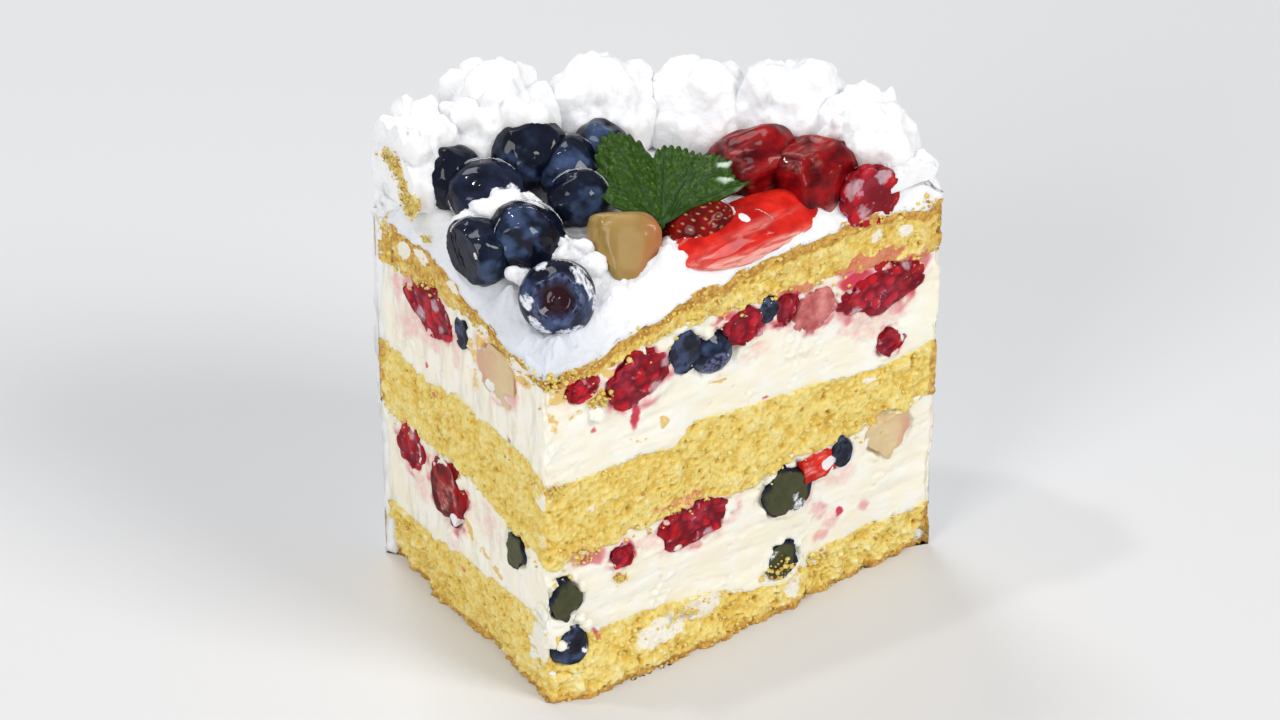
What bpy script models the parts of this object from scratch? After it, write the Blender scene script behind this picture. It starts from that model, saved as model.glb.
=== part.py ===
"""A cut piece of diplomat cake, built as its real pieces.

Three sponge layers with two cream fillings between them, a sheet of whipped cream on top and a
coat of it round the outside, a piped border, fruit in both fillings and on top, and a lobed leaf.

Every size is in millimetres in the cake frame: the origin is the foot of the near corner, +X
runs along the long cut face, +Y along the short cut face and +Z up. finish() turns the sizes
into metres, and an empty called diplomat_cake puts the middle of the base at the world origin.
"""

import math
import random

import bmesh
import bpy
import numpy as np
from mathutils import Euler, Matrix, Vector, noise

MM = 0.001
GAP = 0.3  # left between neighbouring pieces
POCKET_GAP = 0.36  # how far the hollow round a fruit stands off its skin
SMOOTH_ANGLE = 40  # edges that turn less than this, in degrees, are shaded smooth

# Plan: two square cuts through a round cake.
ROUND_CENTRE_X = 25.4
ROUND_RADIUS = 62.5
COAT_THICKNESS = 2.9
SPONGE_RADIUS = ROUND_RADIUS - COAT_THICKNESS
BASE_MIDDLE = (43.0, 28.0)  # the point of the base that becomes the world origin
PLAN_CELLS = (10, 6)  # cells of a layer's grid along the long and the short cut face
WALL_ROWS = 2  # rows of faces up a layer's walls

# Heights where one layer meets the next, as (distance from the near corner, height), first along
# the long cut face and then along the short one.
MEETINGS = {
    "sponge_bottom_top": (
        ((0, 15.0), (11, 11.9), (25, 11.2), (41, 8.5), (51, 5.6), (57, 6.0), (63, 9.3), (85, 9.6)),
        ((0, 15.0), (6, 17.5), (19, 16.0), (37, 14.0), (54, 12.8)),
    ),
    "sponge_middle_base": (
        ((0, 29.5), (11, 30.5), (30, 32.2), (43, 29.8), (54, 32.6), (76, 33.2), (85, 35.2)),
        ((0, 29.5), (5, 31.5), (13, 32.3), (25, 35.6), (40, 34.8), (54, 35.1)),
    ),
    "sponge_middle_top": (
        (
            (0, 47.0), (21, 46.9), (28, 45.2), (32, 49.2), (43, 48.6), (65, 46.3), (74, 45.4),
            (85, 46.6),
        ),
        ((0, 47.0), (6, 50.6), (30, 50.7), (40, 48.8), (54, 49.3)),
    ),
    "sponge_top_base": (
        ((0, 68.6), (16, 69.3), (27, 71.0), (43, 71.4), (54, 70.0), (64, 69.3), (85, 67.2)),
        ((0, 68.6), (17, 70.8), (30, 71.2), (39, 70.0), (54, 67.8)),
    ),
    "sponge_top_top": (
        (
            (0, 70.6), (12, 71.4), (16, 74.0), (25, 75.6), (31, 77.8), (37, 77.6), (50, 80.0),
            (73, 80.0), (85, 77.4),
        ),
        ((0, 70.6), (10, 71.8), (17, 73.2), (24, 74.8), (31, 77.8), (48, 77.8), (54, 75.4)),
    ),
}

# Layers from the base up: name, what is under it, what is over it, material.
LAYERS = (
    ("sponge_bottom", "floor", "sponge_bottom_top", "sponge"),
    ("cream_lower", "sponge_bottom_top", "sponge_middle_base", "filling_cream"),
    ("sponge_middle", "sponge_middle_base", "sponge_middle_top", "sponge"),
    ("cream_upper", "sponge_middle_top", "sponge_top_base", "filling_cream"),
    ("sponge_top", "sponge_top_base", "sponge_top_top", "sponge"),
    ("cream_top", "sponge_top_top", "sheet_top", "whipped_cream"),
)

# The whipped cream on top: a sheet that dips to the near corner, and a level ring below the border.
SHEET_EDGE = 1.3  # what is left of it right at a cut
SHEET_EDGE_WIDTH = 5.0
SHEET_EDGE_SHARE = 0.3  # of its full thickness, where the edge starts
DIP = 10.0
DIP_SPREAD = (27.0, 24.0)
RING_LEVEL = 84.4
RING_WIDTH = 19.0
RING_SLOPE = 6.0  # from the ring's inner side to the free sheet
FACE_ROUGHNESS = 0.45  # how far a cut face wanders
FACE_NOISE = 0.16  # waves of it to the millimetre

# The foot of the bottom sponge spreads past the long cut and draws in behind the short one, as
# (distance from the near corner, spread).
LONG_FOOT = ((0, 0.3), (8, 3.3), (36, 3.3), (56, 1.7), (72, 0.0), (85, -0.8))
SHORT_FOOT = ((0, 0.0), (10, -0.4), (20, -1.3), (28, -0.8), (40, -0.4), (43, -1.8), (54, -1.2))
FOOT_HEIGHT = 13.0

# The coat of cream round the outside.
COAT_FOOT = 0.6  # over the floor
COAT_CELLS = (16, 5)
COAT_UNEVEN = 0.3
COAT_RIM_DROP = 2.4  # the rounded outer rim, below the sheet

# Piped border: name, place, base radius, height over the ring, turn of its lobes in degrees.
ROSETTES = (
    ("rosette_1", (4.9, 50.3), 9.4, 14.4, 20),
    ("rosette_2", (22.8, 50.4), 11.0, 16.8, 75),
    ("rosette_3", (43.4, 45.8), 10.6, 13.6, 5),
    ("rosette_4", (58.8, 37.3), 10.2, 12.0, 40),
    ("rosette_5", (71.8, 26.2), 10.6, 13.6, 60),
    ("rosette_6", (78.4, 12.6), 9.0, 11.6, 15),
    ("rosette_7", (81.0, 3.0), 6.2, 3.2, 50),
)
DOLLOP = ((74.6, 7.6, 90.4), 3.6)  # a loose lobe of rosette_6 that leans over the berries
ROSETTE_SEGMENTS = 16
ROSETTE_ANGLES = (0, 16, 33, 50, 67, 84, 101, 180)  # rows of its skin, from the peak down

# A rosette's core, its rings of ridges and its peak, as shares of its radius and height. A ring:
# ridges, distance out, height, radii (outward, along the ring, up), turn in ridges.
ROSETTE_CORE = (0.32, (0.66, 0.66, 0.58))
ROSETTE_RINGS = (
    (7, 0.58, 0.24, (0.42, 0.30, 0.38), 0.0),
    (6, 0.48, 0.56, (0.40, 0.30, 0.29), 0.5),
    (4, 0.28, 0.80, (0.28, 0.22, 0.18), 0.2),
)
ROSETTE_PEAK = ((0.10, 0.90), (0.12, 0.12, 0.10))

# Fruit on top: name, kind, centre, radii, rotation in degrees.
TOP_FRUIT = (
    ("blueberry_1", "blueberry", (9.3, 9.4, 80.5), (7.2, 7.2, 6.9), (62, 0, -34)),
    ("blueberry_2", "blueberry", (11.8, 22.6, 85.2), (8.0, 7.0, 6.6), (20, 30, 10)),
    ("blueberry_3", "blueberry", (3.4, 25.6, 83.6), (6.2, 6.8, 6.4), (10, -20, 0)),
    ("blueberry_4", "blueberry", (11.6, 36.0, 87.4), (7.6, 7.0, 6.6), (-15, 10, 0)),
    ("blueberry_5", "blueberry", (8.6, 43.0, 88.0), (6.3, 6.0, 6.2), (0, 15, 0)),
    ("blueberry_6", "blueberry", (23.4, 39.8, 90.4), (7.4, 7.0, 6.6), (-12, -14, 0)),
    ("blueberry_7", "blueberry", (28.4, 34.2, 87.6), (6.6, 6.6, 6.2), (30, 40, 0)),
    ("blueberry_8", "blueberry", (25.0, 26.2, 87.0), (6.2, 5.4, 5.2), (-30, 0, 0)),
    ("blueberry_9", "blueberry", (36.0, 35.6, 88.8), (5.6, 5.6, 5.4), (0, 20, 0)),
    ("peach_top", "peach", (26.2, 13.2, 84.0), (7.6, 6.6, 4.4), (8, 10, 24)),
    ("strawberry_1", "strawberry", (39.6, 9.6, 83.8), (5.6, 5.6, 7.2), (58, 0, 62)),
    ("strawberry_2", "slice", (48.6, 5.9, 82.6), (15.2, 6.4, 3.8), (24, -8, 3)),
    ("strawberry_3", "strawberry", (57.6, 18.4, 87.0), (7.6, 6.0, 8.4), (80, 0, 80)),
    ("strawberry_4", "strawberry", (65.4, 10.4, 87.2), (7.0, 6.0, 8.0), (84, 0, 20)),
    ("raspberry_top", "raspberry", (72.0, 1.6, 83.2), (5.8, 5.4, 6.0), (20, 10, 0)),
)

# Fruit in the fillings where the long cut face shows it: name, kind, distance along the face,
# height, half width, half height, depth of its middle behind the face, how proud it stands.
LONG_FACE_FRUIT = (
    ("raspberry_u1", "raspberry", 8.2, 66.4, 3.6, 2.7, 1.0, 0.0),
    ("raspberry_u2", "raspberry", 20.4, 63.8, 7.6, 5.8, 2.0, 0.3),
    ("blueberry_u1", "blueberry", 30.4, 65.6, 3.8, 4.6, 1.2, 0.0),
    ("blueberry_u2", "blueberry", 37.0, 62.8, 5.1, 5.1, 3.6, 1.5),
    ("raspberry_u3", "raspberry", 43.4, 66.6, 5.2, 3.9, 1.6, 0.2),
    ("blueberry_u3", "blueberry", 48.6, 68.2, 2.4, 3.0, 1.0, 0.0),
    ("raspberry_u4", "raspberry", 52.6, 66.6, 2.8, 3.6, 1.0, 0.0),
    ("strawberry_u1", "red_chunk", 58.8, 64.2, 5.0, 4.3, 2.0, 0.2),
    ("raspberry_u5", "raspberry", 74.2, 63.0, 9.2, 5.6, 2.4, 0.4),
    ("raspberry_u6", "raspberry", 76.4, 50.6, 3.0, 3.1, 1.0, 0.2),
    ("raspberry_l1", "raspberry", 33.0, 27.0, 8.6, 4.9, 2.0, 0.0),
    ("raspberry_l2", "raspberry", 16.6, 26.6, 2.6, 2.6, 0.8, 0.2),
    ("blueberry_l1", "blueberry", 53.0, 26.4, 6.1, 5.9, 1.6, 0.2),
    ("strawberry_l1", "red_chunk", 61.2, 28.6, 3.6, 2.9, 1.2, 0.2),
    ("blueberry_l2", "blueberry", 66.4, 29.6, 2.5, 3.2, 1.0, 0.2),
    ("peach_l1", "peach", 77.2, 30.2, 5.4, 5.3, 2.2, 0.2),
    ("blueberry_l3", "blueberry", 53.0, 10.6, 4.2, 4.2, 1.2, 0.0),
    ("blueberry_l4", "blueberry", 4.4, 21.6, 3.9, 5.3, 2.6, 0.2),
    ("blueberry_l5", "blueberry", 5.2, 11.0, 4.6, 4.5, 2.8, 0.4),
)

# The same for the short cut face, with the distance counted along +Y.
SHORT_FACE_FRUIT = (
    ("raspberry_s1", "raspberry", 38.0, 65.8, 8.4, 5.4, 2.2, 0.0),
    ("blueberry_s1", "blueberry", 27.4, 66.4, 2.4, 3.6, 1.0, 0.0),
    ("strawberry_s1", "red_chunk", 16.4, 64.2, 6.2, 5.6, 2.2, 0.0),
    ("raspberry_s2", "raspberry", 47.0, 30.0, 4.4, 5.4, 1.8, 0.0),
    ("strawberry_s2", "red_chunk", 33.6, 27.2, 6.6, 7.6, 2.4, 0.2),
    ("blueberry_s2", "blueberry", 10.6, 28.2, 3.4, 4.2, 1.4, 0.2),
)
FRUIT_DEPTH = 5.0  # half depth of fruit in a filling
TRIM = 0.2  # how far inside a cut face a fruit on top, or one at the corner, ends

# The leaf: a fan of five lobes round the point where its stem joins. Its plane is spanned by the
# way across and the way it rises. A lobe: turn in degrees from the left, reach, and how many
# degrees to each side its outline would take to come back to the stem.
LEAF_BASE = (34.8, 12.9, 88.2)
LEAF_ACROSS = (0.826, -0.564, 0.0)
LEAF_RISE = (0.507, 0.743, 0.438)
LEAF_LOBES = (
    (41, 16.4, 25, 60),
    (63, 22.5, 24, 41),
    (96, 18.6, 33, 50),
    (124, 18.1, 45, 36),
    (149, 18.4, 27, 10),
)
LEAF_TURNS = (24, 157)
LEAF_CELLS = (28, 3)
LEAF_TEETH = 14
LEAF_TOOTH = 0.07
LEAF_THICKNESS = 0.6
LEAF_WAVE = 0.8
LEAF_DROOP = 1.6
STEM_FOOT = (34.4, 14.0, 84.2)
STEM_RADIUS = 0.7

MATERIALS = {
    "sponge": ((0.80, 0.56, 0.16), 0.85),
    "filling_cream": ((0.90, 0.82, 0.66), 0.45),
    "whipped_cream": ((0.92, 0.92, 0.92), 0.4),
    "blueberry": ((0.012, 0.014, 0.045), 0.25),
    "raspberry": ((0.40, 0.008, 0.02), 0.3),
    "strawberry": ((0.62, 0.02, 0.01), 0.25),
    "slice": ((0.72, 0.03, 0.012), 0.22),
    "peach": ((0.80, 0.55, 0.26), 0.3),
    "red_chunk": ((0.66, 0.12, 0.10), 0.3),
    "leaf": ((0.06, 0.22, 0.015), 0.45),
}


def clear_scene():
    for old in list(bpy.data.objects):
        bpy.data.objects.remove(old)


def smoothstep(value, low, high):
    share = min(max((value - low) / (high - low), 0.0), 1.0)
    return share * share * (3 - 2 * share)


def make_material(name, kind):
    colour, roughness = MATERIALS[kind]
    material = bpy.data.materials.new(name)
    material.use_nodes = True
    shader = material.node_tree.nodes["Principled BSDF"]
    shader.inputs["Base Color"].default_value = (*colour, 1)
    shader.inputs["Roughness"].default_value = roughness
    shader.inputs["Metallic"].default_value = 0.0
    return material


def keep_largest_body(bm):
    """Drops the loose scraps that a cut leaves."""
    left = set(bm.verts)
    bodies = []
    while left:
        body = [left.pop()]
        for vert in body:
            for edge in vert.link_edges:
                other = edge.other_vert(vert)
                if other in left:
                    left.remove(other)
                    body.append(other)
        bodies.append(body)
    bodies.sort(key=len, reverse=True)
    scraps = [vert for body in bodies[1:] for vert in body]
    bmesh.ops.delete(bm, geom=scraps, context="VERTS")


def finish(name, bm, centre, kind, root, helper=False):
    """Makes the object: its mesh in metres round its own centre, its place and its material."""
    bmesh.ops.recalc_face_normals(bm, faces=bm.faces)
    bmesh.ops.translate(bm, verts=bm.verts, vec=-Vector(centre))
    bmesh.ops.scale(bm, verts=bm.verts, vec=(MM, MM, MM))
    mesh = bpy.data.meshes.new(name)
    bm.to_mesh(mesh)
    bm.free()
    mesh.shade_smooth()
    mesh.set_sharp_from_angle(angle=math.radians(SMOOTH_ANGLE))
    obj = bpy.data.objects.new(name, mesh)
    obj.location = Vector(centre) * MM
    obj.parent = root
    bpy.context.scene.collection.objects.link(obj)
    if helper:
        obj.hide_render = True
        obj.display_type = "WIRE"
    else:
        mesh.materials.append(make_material(name, kind))
    return obj


def box_of(obj):
    """The object's box in the cake frame, in metres."""
    points = np.array([obj.location + vert.co for vert in obj.data.vertices])
    return points.min(axis=0), points.max(axis=0)


def boxes_meet(one, other):
    return bool((one[0] < other[1]).all() and (other[0] < one[1]).all())


def combine(obj, others, operation):
    """Cuts the other bodies out of the object or joins them to it, for good."""
    box = box_of(obj)
    near = [other for other in others if boxes_meet(box, box_of(other))]
    if not near:
        return
    holder = bpy.data.collections.new("others")
    for other in near:
        holder.objects.link(other)
    boolean = obj.modifiers.new("others", "BOOLEAN")
    boolean.operation = operation
    boolean.operand_type = "COLLECTION"
    boolean.collection = holder
    boolean.solver = "EXACT"
    bpy.context.view_layer.update()
    graph = bpy.context.evaluated_depsgraph_get()
    bm = bmesh.new()
    bm.from_object(obj, graph)
    obj.modifiers.remove(boolean)
    bpy.data.collections.remove(holder)
    keep_largest_body(bm)
    bm.to_mesh(obj.data)
    bm.free()


def cut_flat(bm, point, normal):
    """Takes off what lies beyond a plane and closes the cut."""
    geometry = [*bm.verts, *bm.edges, *bm.faces]
    done = bmesh.ops.bisect_plane(
        bm, geom=geometry, plane_co=point, plane_no=normal, clear_outer=True, dist=1e-4
    )
    rim = [item for item in done["geom_cut"] if isinstance(item, bmesh.types.BMEdge)]
    if rim:
        bmesh.ops.holes_fill(bm, edges=rim, sides=0)


# ---- layers ----


def meeting_height(meeting, x, y):
    """The height of a meeting over a point of the plan, from its two face profiles."""
    along, across = MEETINGS[meeting]
    share = 0.5 if x + y < 1e-6 else x * x / (x * x + y * y)
    return share * np.interp(x, *zip(*along)) + (1 - share) * np.interp(y, *zip(*across))


def sheet_top(x, y):
    """The top of the whipped cream: dipping to the near corner, level under the border."""
    spread = (x / DIP_SPREAD[0]) ** 2 + (y / DIP_SPREAD[1]) ** 2
    free = RING_LEVEL - DIP * math.exp(-spread)
    inward = ROUND_RADIUS - math.hypot(x - ROUND_CENTRE_X, y)
    ring = smoothstep(inward, RING_WIDTH + RING_SLOPE, RING_WIDTH)
    level = free * (1 - ring) + RING_LEVEL * ring
    sponge = meeting_height("sponge_top_top", x, y)
    edge = smoothstep(min(x, y), 0.0, SHEET_EDGE_WIDTH)
    share = SHEET_EDGE_SHARE + (1 - SHEET_EDGE_SHARE) * edge
    return max(sponge + SHEET_EDGE, sponge + (level - sponge) * share)


def level_height(level, x, y, lift):
    """The height of a named level over a point of the plan; a meeting is lifted by lift."""
    if level == "floor":
        return 0.0
    if level == "sheet_top":
        return sheet_top(x, y)
    return meeting_height(level, x, y) + lift


def plan_point(u, v, radius):
    """Maps the unit square to the plan, its near sides to the cuts and its far sides to the arc."""
    reach = max(u, v)
    if reach == 0:
        return 0.0, 0.0
    turn = 0.5 * v / u if u >= v else 1 - 0.5 * u / v
    angle = turn * math.acos(-ROUND_CENTRE_X / radius)
    x = ROUND_CENTRE_X + radius * math.cos(angle)
    y = radius * math.sin(angle)
    return reach * x, reach * y


def roughen(x, y, z):
    """Moves a point of a cut face a little in or out, and the foot with it."""
    shift = FACE_ROUGHNESS * noise.noise(Vector((x, y, z)) * FACE_NOISE)
    low = 1 - smoothstep(z, 0.0, FOOT_HEIGHT)
    long_shift = shift + low * np.interp(x, *zip(*LONG_FOOT))
    short_shift = shift + low * np.interp(y, *zip(*SHORT_FOOT))
    return x - (short_shift if x < 1e-6 else 0), y - (long_shift if y < 1e-6 else 0), z


def rim_of(along, across):
    """The keys of a grid's outline, once round."""
    rim = [(i, 0) for i in range(along)] + [(along, j) for j in range(across)]
    rim += [(i, across) for i in range(along, 0, -1)] + [(0, j) for j in range(across, 0, -1)]
    return rim


def make_layer(name, under, over, kind, root):
    """A closed layer between two levels of the plan."""
    bm = bmesh.new()
    along, across = PLAN_CELLS
    plan = {
        (i, j): plan_point(i / along, j / across, SPONGE_RADIUS - GAP)
        for i in range(along + 1)
        for j in range(across + 1)
    }
    rim = rim_of(along, across)

    def vert(key, share):
        x, y = plan[key]
        base = level_height(under, x, y, GAP / 2)
        top = level_height(over, x, y, -GAP / 2)
        return bm.verts.new(roughen(x, y, base + (top - base) * share))

    sheets = [{key: vert(key, share) for key in plan} for share in (0, 1)]
    rings = [[sheets[0][key] for key in rim]]
    for row in range(1, WALL_ROWS):
        rings.append([vert(key, row / WALL_ROWS) for key in rim])
    rings.append([sheets[1][key] for key in rim])
    for i in range(along):
        for j in range(across):
            halves = (((i, j), (i + 1, j), (i + 1, j + 1)), ((i, j), (i + 1, j + 1), (i, j + 1)))
            for sheet in sheets:
                for corners in halves:
                    bm.faces.new([sheet[corner] for corner in corners])
    for low, high in zip(rings, rings[1:]):
        for k in range(len(rim)):
            after = (k + 1) % len(rim)
            bm.faces.new((low[k], low[after], high[after], high[k]))
    return finish(name, bm, (*BASE_MIDDLE, 0), kind, root)


def coat_column(angle, radius, rows, drop, uneven):
    """The points up one column of the coat, which ends this far below the sheet."""
    column = []
    for j in range(rows + 1):
        reach = radius + uneven * (noise.noise(Vector((angle * 4, j * 0.9, 3.0))) - 1)
        x = max(ROUND_CENTRE_X + reach * math.cos(angle), 0.0)
        y = reach * math.sin(angle)
        top = sheet_top(x, y) - drop
        column.append((x, y, COAT_FOOT + (top - COAT_FOOT) * j / rows))
    return column


def make_coat(root):
    """The cream round the outside, from just over the floor to the level of the top sheet."""
    columns, rows = COAT_CELLS
    bm = bmesh.new()
    walls = []
    for radius, drop, uneven in (
        (SPONGE_RADIUS, 0.0, 0.0),
        (ROUND_RADIUS, COAT_RIM_DROP, COAT_UNEVEN),
    ):
        last = math.acos(-ROUND_CENTRE_X / radius)
        wall = []
        for i in range(columns + 1):
            column = coat_column(last * i / columns, radius, rows, drop, uneven)
            wall.append([bm.verts.new(point) for point in column])
        walls.append(wall)
    inner, outer = walls
    for wall in walls:
        for i in range(columns):
            for j in range(rows):
                bm.faces.new((wall[i][j], wall[i + 1][j], wall[i + 1][j + 1], wall[i][j + 1]))
    for i in range(columns):
        for j in (0, rows):
            bm.faces.new((inner[i][j], inner[i + 1][j], outer[i + 1][j], outer[i][j]))
    for i in (0, columns):
        for j in range(rows):
            bm.faces.new((inner[i][j], inner[i][j + 1], outer[i][j + 1], outer[i][j]))
    return finish("cream_coat", bm, (*BASE_MIDDLE, 0), "whipped_cream", root)


# ---- fruit ----


def unit_ball(segments, angles):
    """Rows of unit directions from the top pole down, with one point at each pole."""
    rows = []
    for angle in angles:
        polar = math.radians(angle)
        count = segments if 0 < angle < 180 else 1
        row = []
        for k in range(count):
            turn = 2 * math.pi * k / segments
            out = math.sin(polar)
            row.append(Vector((out * math.cos(turn), out * math.sin(turn), math.cos(polar))))
        rows.append(row)
    return rows


def skin(bm, rows, place):
    """A closed body over rows of directions; place() turns a direction into a point."""
    grid = []
    for i, row in enumerate(rows):
        grid.append([bm.verts.new(place(i, k, way)) for k, way in enumerate(row)])
    for upper, lower in zip(grid, grid[1:]):
        count = max(len(upper), len(lower))
        for k in range(count):
            after = (k + 1) % count
            if len(lower) > 1:
                bm.faces.new((upper[k % len(upper)], lower[k], lower[after]))
            if len(upper) > 1:
                bm.faces.new((upper[k], lower[after % len(lower)], upper[after]))


def berry_shape(i, k, way, random_shift):
    """A blueberry of radius 1, with its five-pointed crown and the hollow inside it on +Z."""
    crown = {0: 0.84, 1: 0.86, 2: 1.06 if k % 2 else 0.97}
    return way * crown.get(i, 1.0 + 0.4 * random_shift)


def raspberry_shape(i, k, way, random_shift):
    """A raspberry of radius 1, every other point standing out as a drupelet."""
    return way * (1.07 + random_shift if (i + k) % 2 else 0.93)


def strawberry_shape(i, k, way, random_shift):
    """A strawberry of radius 1, tapering to its tip on +Z."""
    taper = 1 - 0.34 * max(way.z, 0) ** 1.5
    return Vector((way.x * taper, way.y * taper, way.z)) * (1 + 0.5 * random_shift)


def chunk_shape(i, k, way, random_shift):
    """A cut chunk of radius 1, with flattish sides."""
    squared = Vector(math.copysign(abs(part) ** 0.72, part) for part in way)
    return squared * (0.92 + random_shift)


FRUIT_SHAPES = {
    "blueberry": (berry_shape, 10, (0, 13, 24, 54, 92, 132, 180)),
    "raspberry": (raspberry_shape, 10, (0, 32, 64, 96, 130, 180)),
    "strawberry": (strawberry_shape, 10, (0, 30, 60, 90, 125, 180)),
    "slice": (strawberry_shape, 12, (0, 30, 60, 90, 125, 180)),
    "peach": (chunk_shape, 8, (0, 34, 64, 96, 128, 180)),
    "red_chunk": (chunk_shape, 8, (0, 34, 64, 96, 128, 180)),
}


def fruit_mesh(kind, centre, radii, turned, seed, grown=0.0):
    """A whole fruit of the kind in the cake frame; grown moves its skin out."""
    shape, segments, angles = FRUIT_SHAPES[kind]
    draw = random.Random(seed)
    bm = bmesh.new()

    def place(i, k, way):
        point = shape(i, k, way, draw.uniform(-0.06, 0.06))
        size = Vector((point.x * radii[0], point.y * radii[1], point.z * radii[2]))
        return Vector(centre) + turned @ size

    skin(bm, unit_ball(segments, angles), place)
    bmesh.ops.recalc_face_normals(bm, faces=bm.faces)
    for vert in bm.verts:
        vert.co += (vert.co - Vector(centre)).normalized() * grown
    return bm


def add_fruit(name, kind, centre, radii, turned, planes, root, pockets):
    """One fruit, cut by the face planes and by fruit that is there already, and its pocket."""
    seed = sum(ord(letter) * (place + 3) for place, letter in enumerate(name))
    bm = fruit_mesh(kind, centre, radii, turned, seed)
    for point, normal in planes:
        cut_flat(bm, point, normal)
    fruit = finish(name, bm, centre, kind, root)
    combine(fruit, pockets, "DIFFERENCE")
    pocket = fruit_mesh(kind, centre, radii, turned, seed, grown=POCKET_GAP)
    pockets.append(finish(f"pocket_{name}", pocket, centre, kind, root, helper=True))


def make_fruit(root, pockets):
    """All the fruit, in the fillings first and then on top."""
    faces = (
        (LONG_FACE_FRUIT, Vector((0, 1, 0)), Vector((1, 0, 0)), 90),
        (SHORT_FACE_FRUIT, Vector((1, 0, 0)), Vector((0, 1, 0)), -90),
    )
    for pieces, inward, along, lean in faces:
        turned = Matrix.Rotation(math.radians(lean), 3, along)
        for name, kind, distance, height, width, rise, depth, proud in pieces:
            centre = along * distance + inward * depth + Vector((0, 0, height))
            planes = [(-proud * inward, -inward)]
            if distance < width:
                planes.append((-TRIM * along, -along))
            # The turned fruit has its own Z along the depth and its Y (or X) upright.
            radii = (width, rise, FRUIT_DEPTH) if inward.y else (rise, width, FRUIT_DEPTH)
            add_fruit(name, kind, centre, radii, turned, planes, root, pockets)
    for name, kind, centre, radii, degrees in TOP_FRUIT:
        turned = Euler([math.radians(angle) for angle in degrees]).to_matrix()
        planes = [((0, TRIM, 0), (0, -1, 0)), ((TRIM, 0, 0), (-1, 0, 0))]
        add_fruit(name, kind, centre, radii, turned, planes, root, pockets)


# ---- piped border ----


def rosette_lobes(radius, height, turn, seed):
    """The ridges of one rosette as ellipsoids: (centre, radii, angle), round its foot."""
    draw = random.Random(seed)
    rise, (out, round_it, up) = ROSETTE_CORE
    core_radii = (out * radius, round_it * radius, up * height)
    lobes = [(Vector((0, 0, rise * height)), core_radii, 0.0)]
    for count, reach, rise, (out, round_it, up), offset in ROSETTE_RINGS:
        for k in range(count):
            angle = math.radians(turn) + 2 * math.pi * (k + offset) / count
            angle += draw.uniform(-0.10, 0.10)
            size = draw.uniform(0.88, 1.12)
            away = Vector((math.cos(angle), math.sin(angle), 0)) * reach * radius
            middle = away + Vector((0, 0, (rise + draw.uniform(-0.03, 0.03)) * height))
            radii = (out * radius * size, round_it * radius * size, up * height * size)
            lobes.append((middle, radii, angle))
    (side, rise), (out, round_it, up) = ROSETTE_PEAK
    peak = Vector((side * radius, 0, rise * height))
    lobes.append((peak, (out * radius, round_it * radius, up * height), 0.0))
    return lobes


def reach_along(way, start, lobes):
    """How far along a direction from the start the outermost lobe ends."""
    best = 0.0
    for middle, radii, angle in lobes:
        back = Matrix.Rotation(-angle, 3, "Z")
        size = Vector((1 / radii[0], 1 / radii[1], 1 / radii[2]))
        ray = (back @ way) * size
        gap = (back @ (start - middle)) * size
        a, b, c = ray.dot(ray), ray.dot(gap), gap.dot(gap) - 1
        under = b * b - a * c
        if under > 0:
            best = max(best, (-b + math.sqrt(under)) / a)
    return best


def rosette_planes(index):
    """The planes that end a rosette: its foot, both cut faces and half way to its neighbours."""
    _, place, radius, _, _ = ROSETTES[index]
    planes = [
        ((0, 0, RING_LEVEL + GAP), (0, 0, -1)),
        ((0, 0, 0), (0, -1, 0)),
        ((0, 0, 0), (-1, 0, 0)),
    ]
    for other in (index - 1, index + 1):
        if 0 <= other < len(ROSETTES):
            _, beside, wide, _, _ = ROSETTES[other]
            away = Vector((*beside, 0)) - Vector((*place, 0))
            share = radius / (radius + wide)
            normal = away.normalized()
            middle = Vector((*place, 0)) + away * share - normal * GAP / 2
            planes.append((middle, normal))
    return planes


def make_border(root, pockets):
    """The rosettes in a row round the outer edge."""
    for index, (name, place, radius, height, turn) in enumerate(ROSETTES):
        lobes = rosette_lobes(radius, height, turn, index)
        foot = Vector((*place, RING_LEVEL))
        if name == "rosette_6":
            size = DOLLOP[1]
            lobes.append((Vector(DOLLOP[0]) - foot, (size, size, size), 0.0))
        start = Vector((0, 0, 0.3 * height))
        bm = bmesh.new()

        def place_point(i, k, way):
            return foot + start + way * reach_along(way, start, lobes)

        skin(bm, unit_ball(ROSETTE_SEGMENTS, ROSETTE_ANGLES), place_point)
        for point, normal in rosette_planes(index):
            cut_flat(bm, point, normal)
        rosette = finish(name, bm, foot, "whipped_cream", root)
        combine(rosette, pockets, "DIFFERENCE")


# ---- leaf ----


def leaf_reach(turn):
    """How far the leaf's outline is from its stem at a turn in degrees, with its teeth."""
    best = 0.0
    for middle, reach, before, after in LEAF_LOBES:
        away = (turn - middle) / (before if turn < middle else after)
        best = max(best, reach * (1 - away * away))
    tooth = (turn - LEAF_TURNS[0]) / (LEAF_TURNS[1] - LEAF_TURNS[0]) * LEAF_TEETH % 1.0
    return best * (1 - LEAF_TOOTH * tooth)


def leaf_point(turn, share, lift):
    """A point of the leaf at a share of its reach, on the face that lies lift over its middle."""
    across, rise = Vector(LEAF_ACROSS), Vector(LEAF_RISE)
    angle = math.radians(turn)
    reach = leaf_reach(turn) * share
    out = rise * math.sin(angle) - across * math.cos(angle)
    wave = LEAF_WAVE * share * math.sin(math.radians(turn * 6))
    droop = LEAF_DROOP * share * share
    return Vector(LEAF_BASE) + out * reach + across.cross(rise) * (wave - droop + lift)


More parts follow.
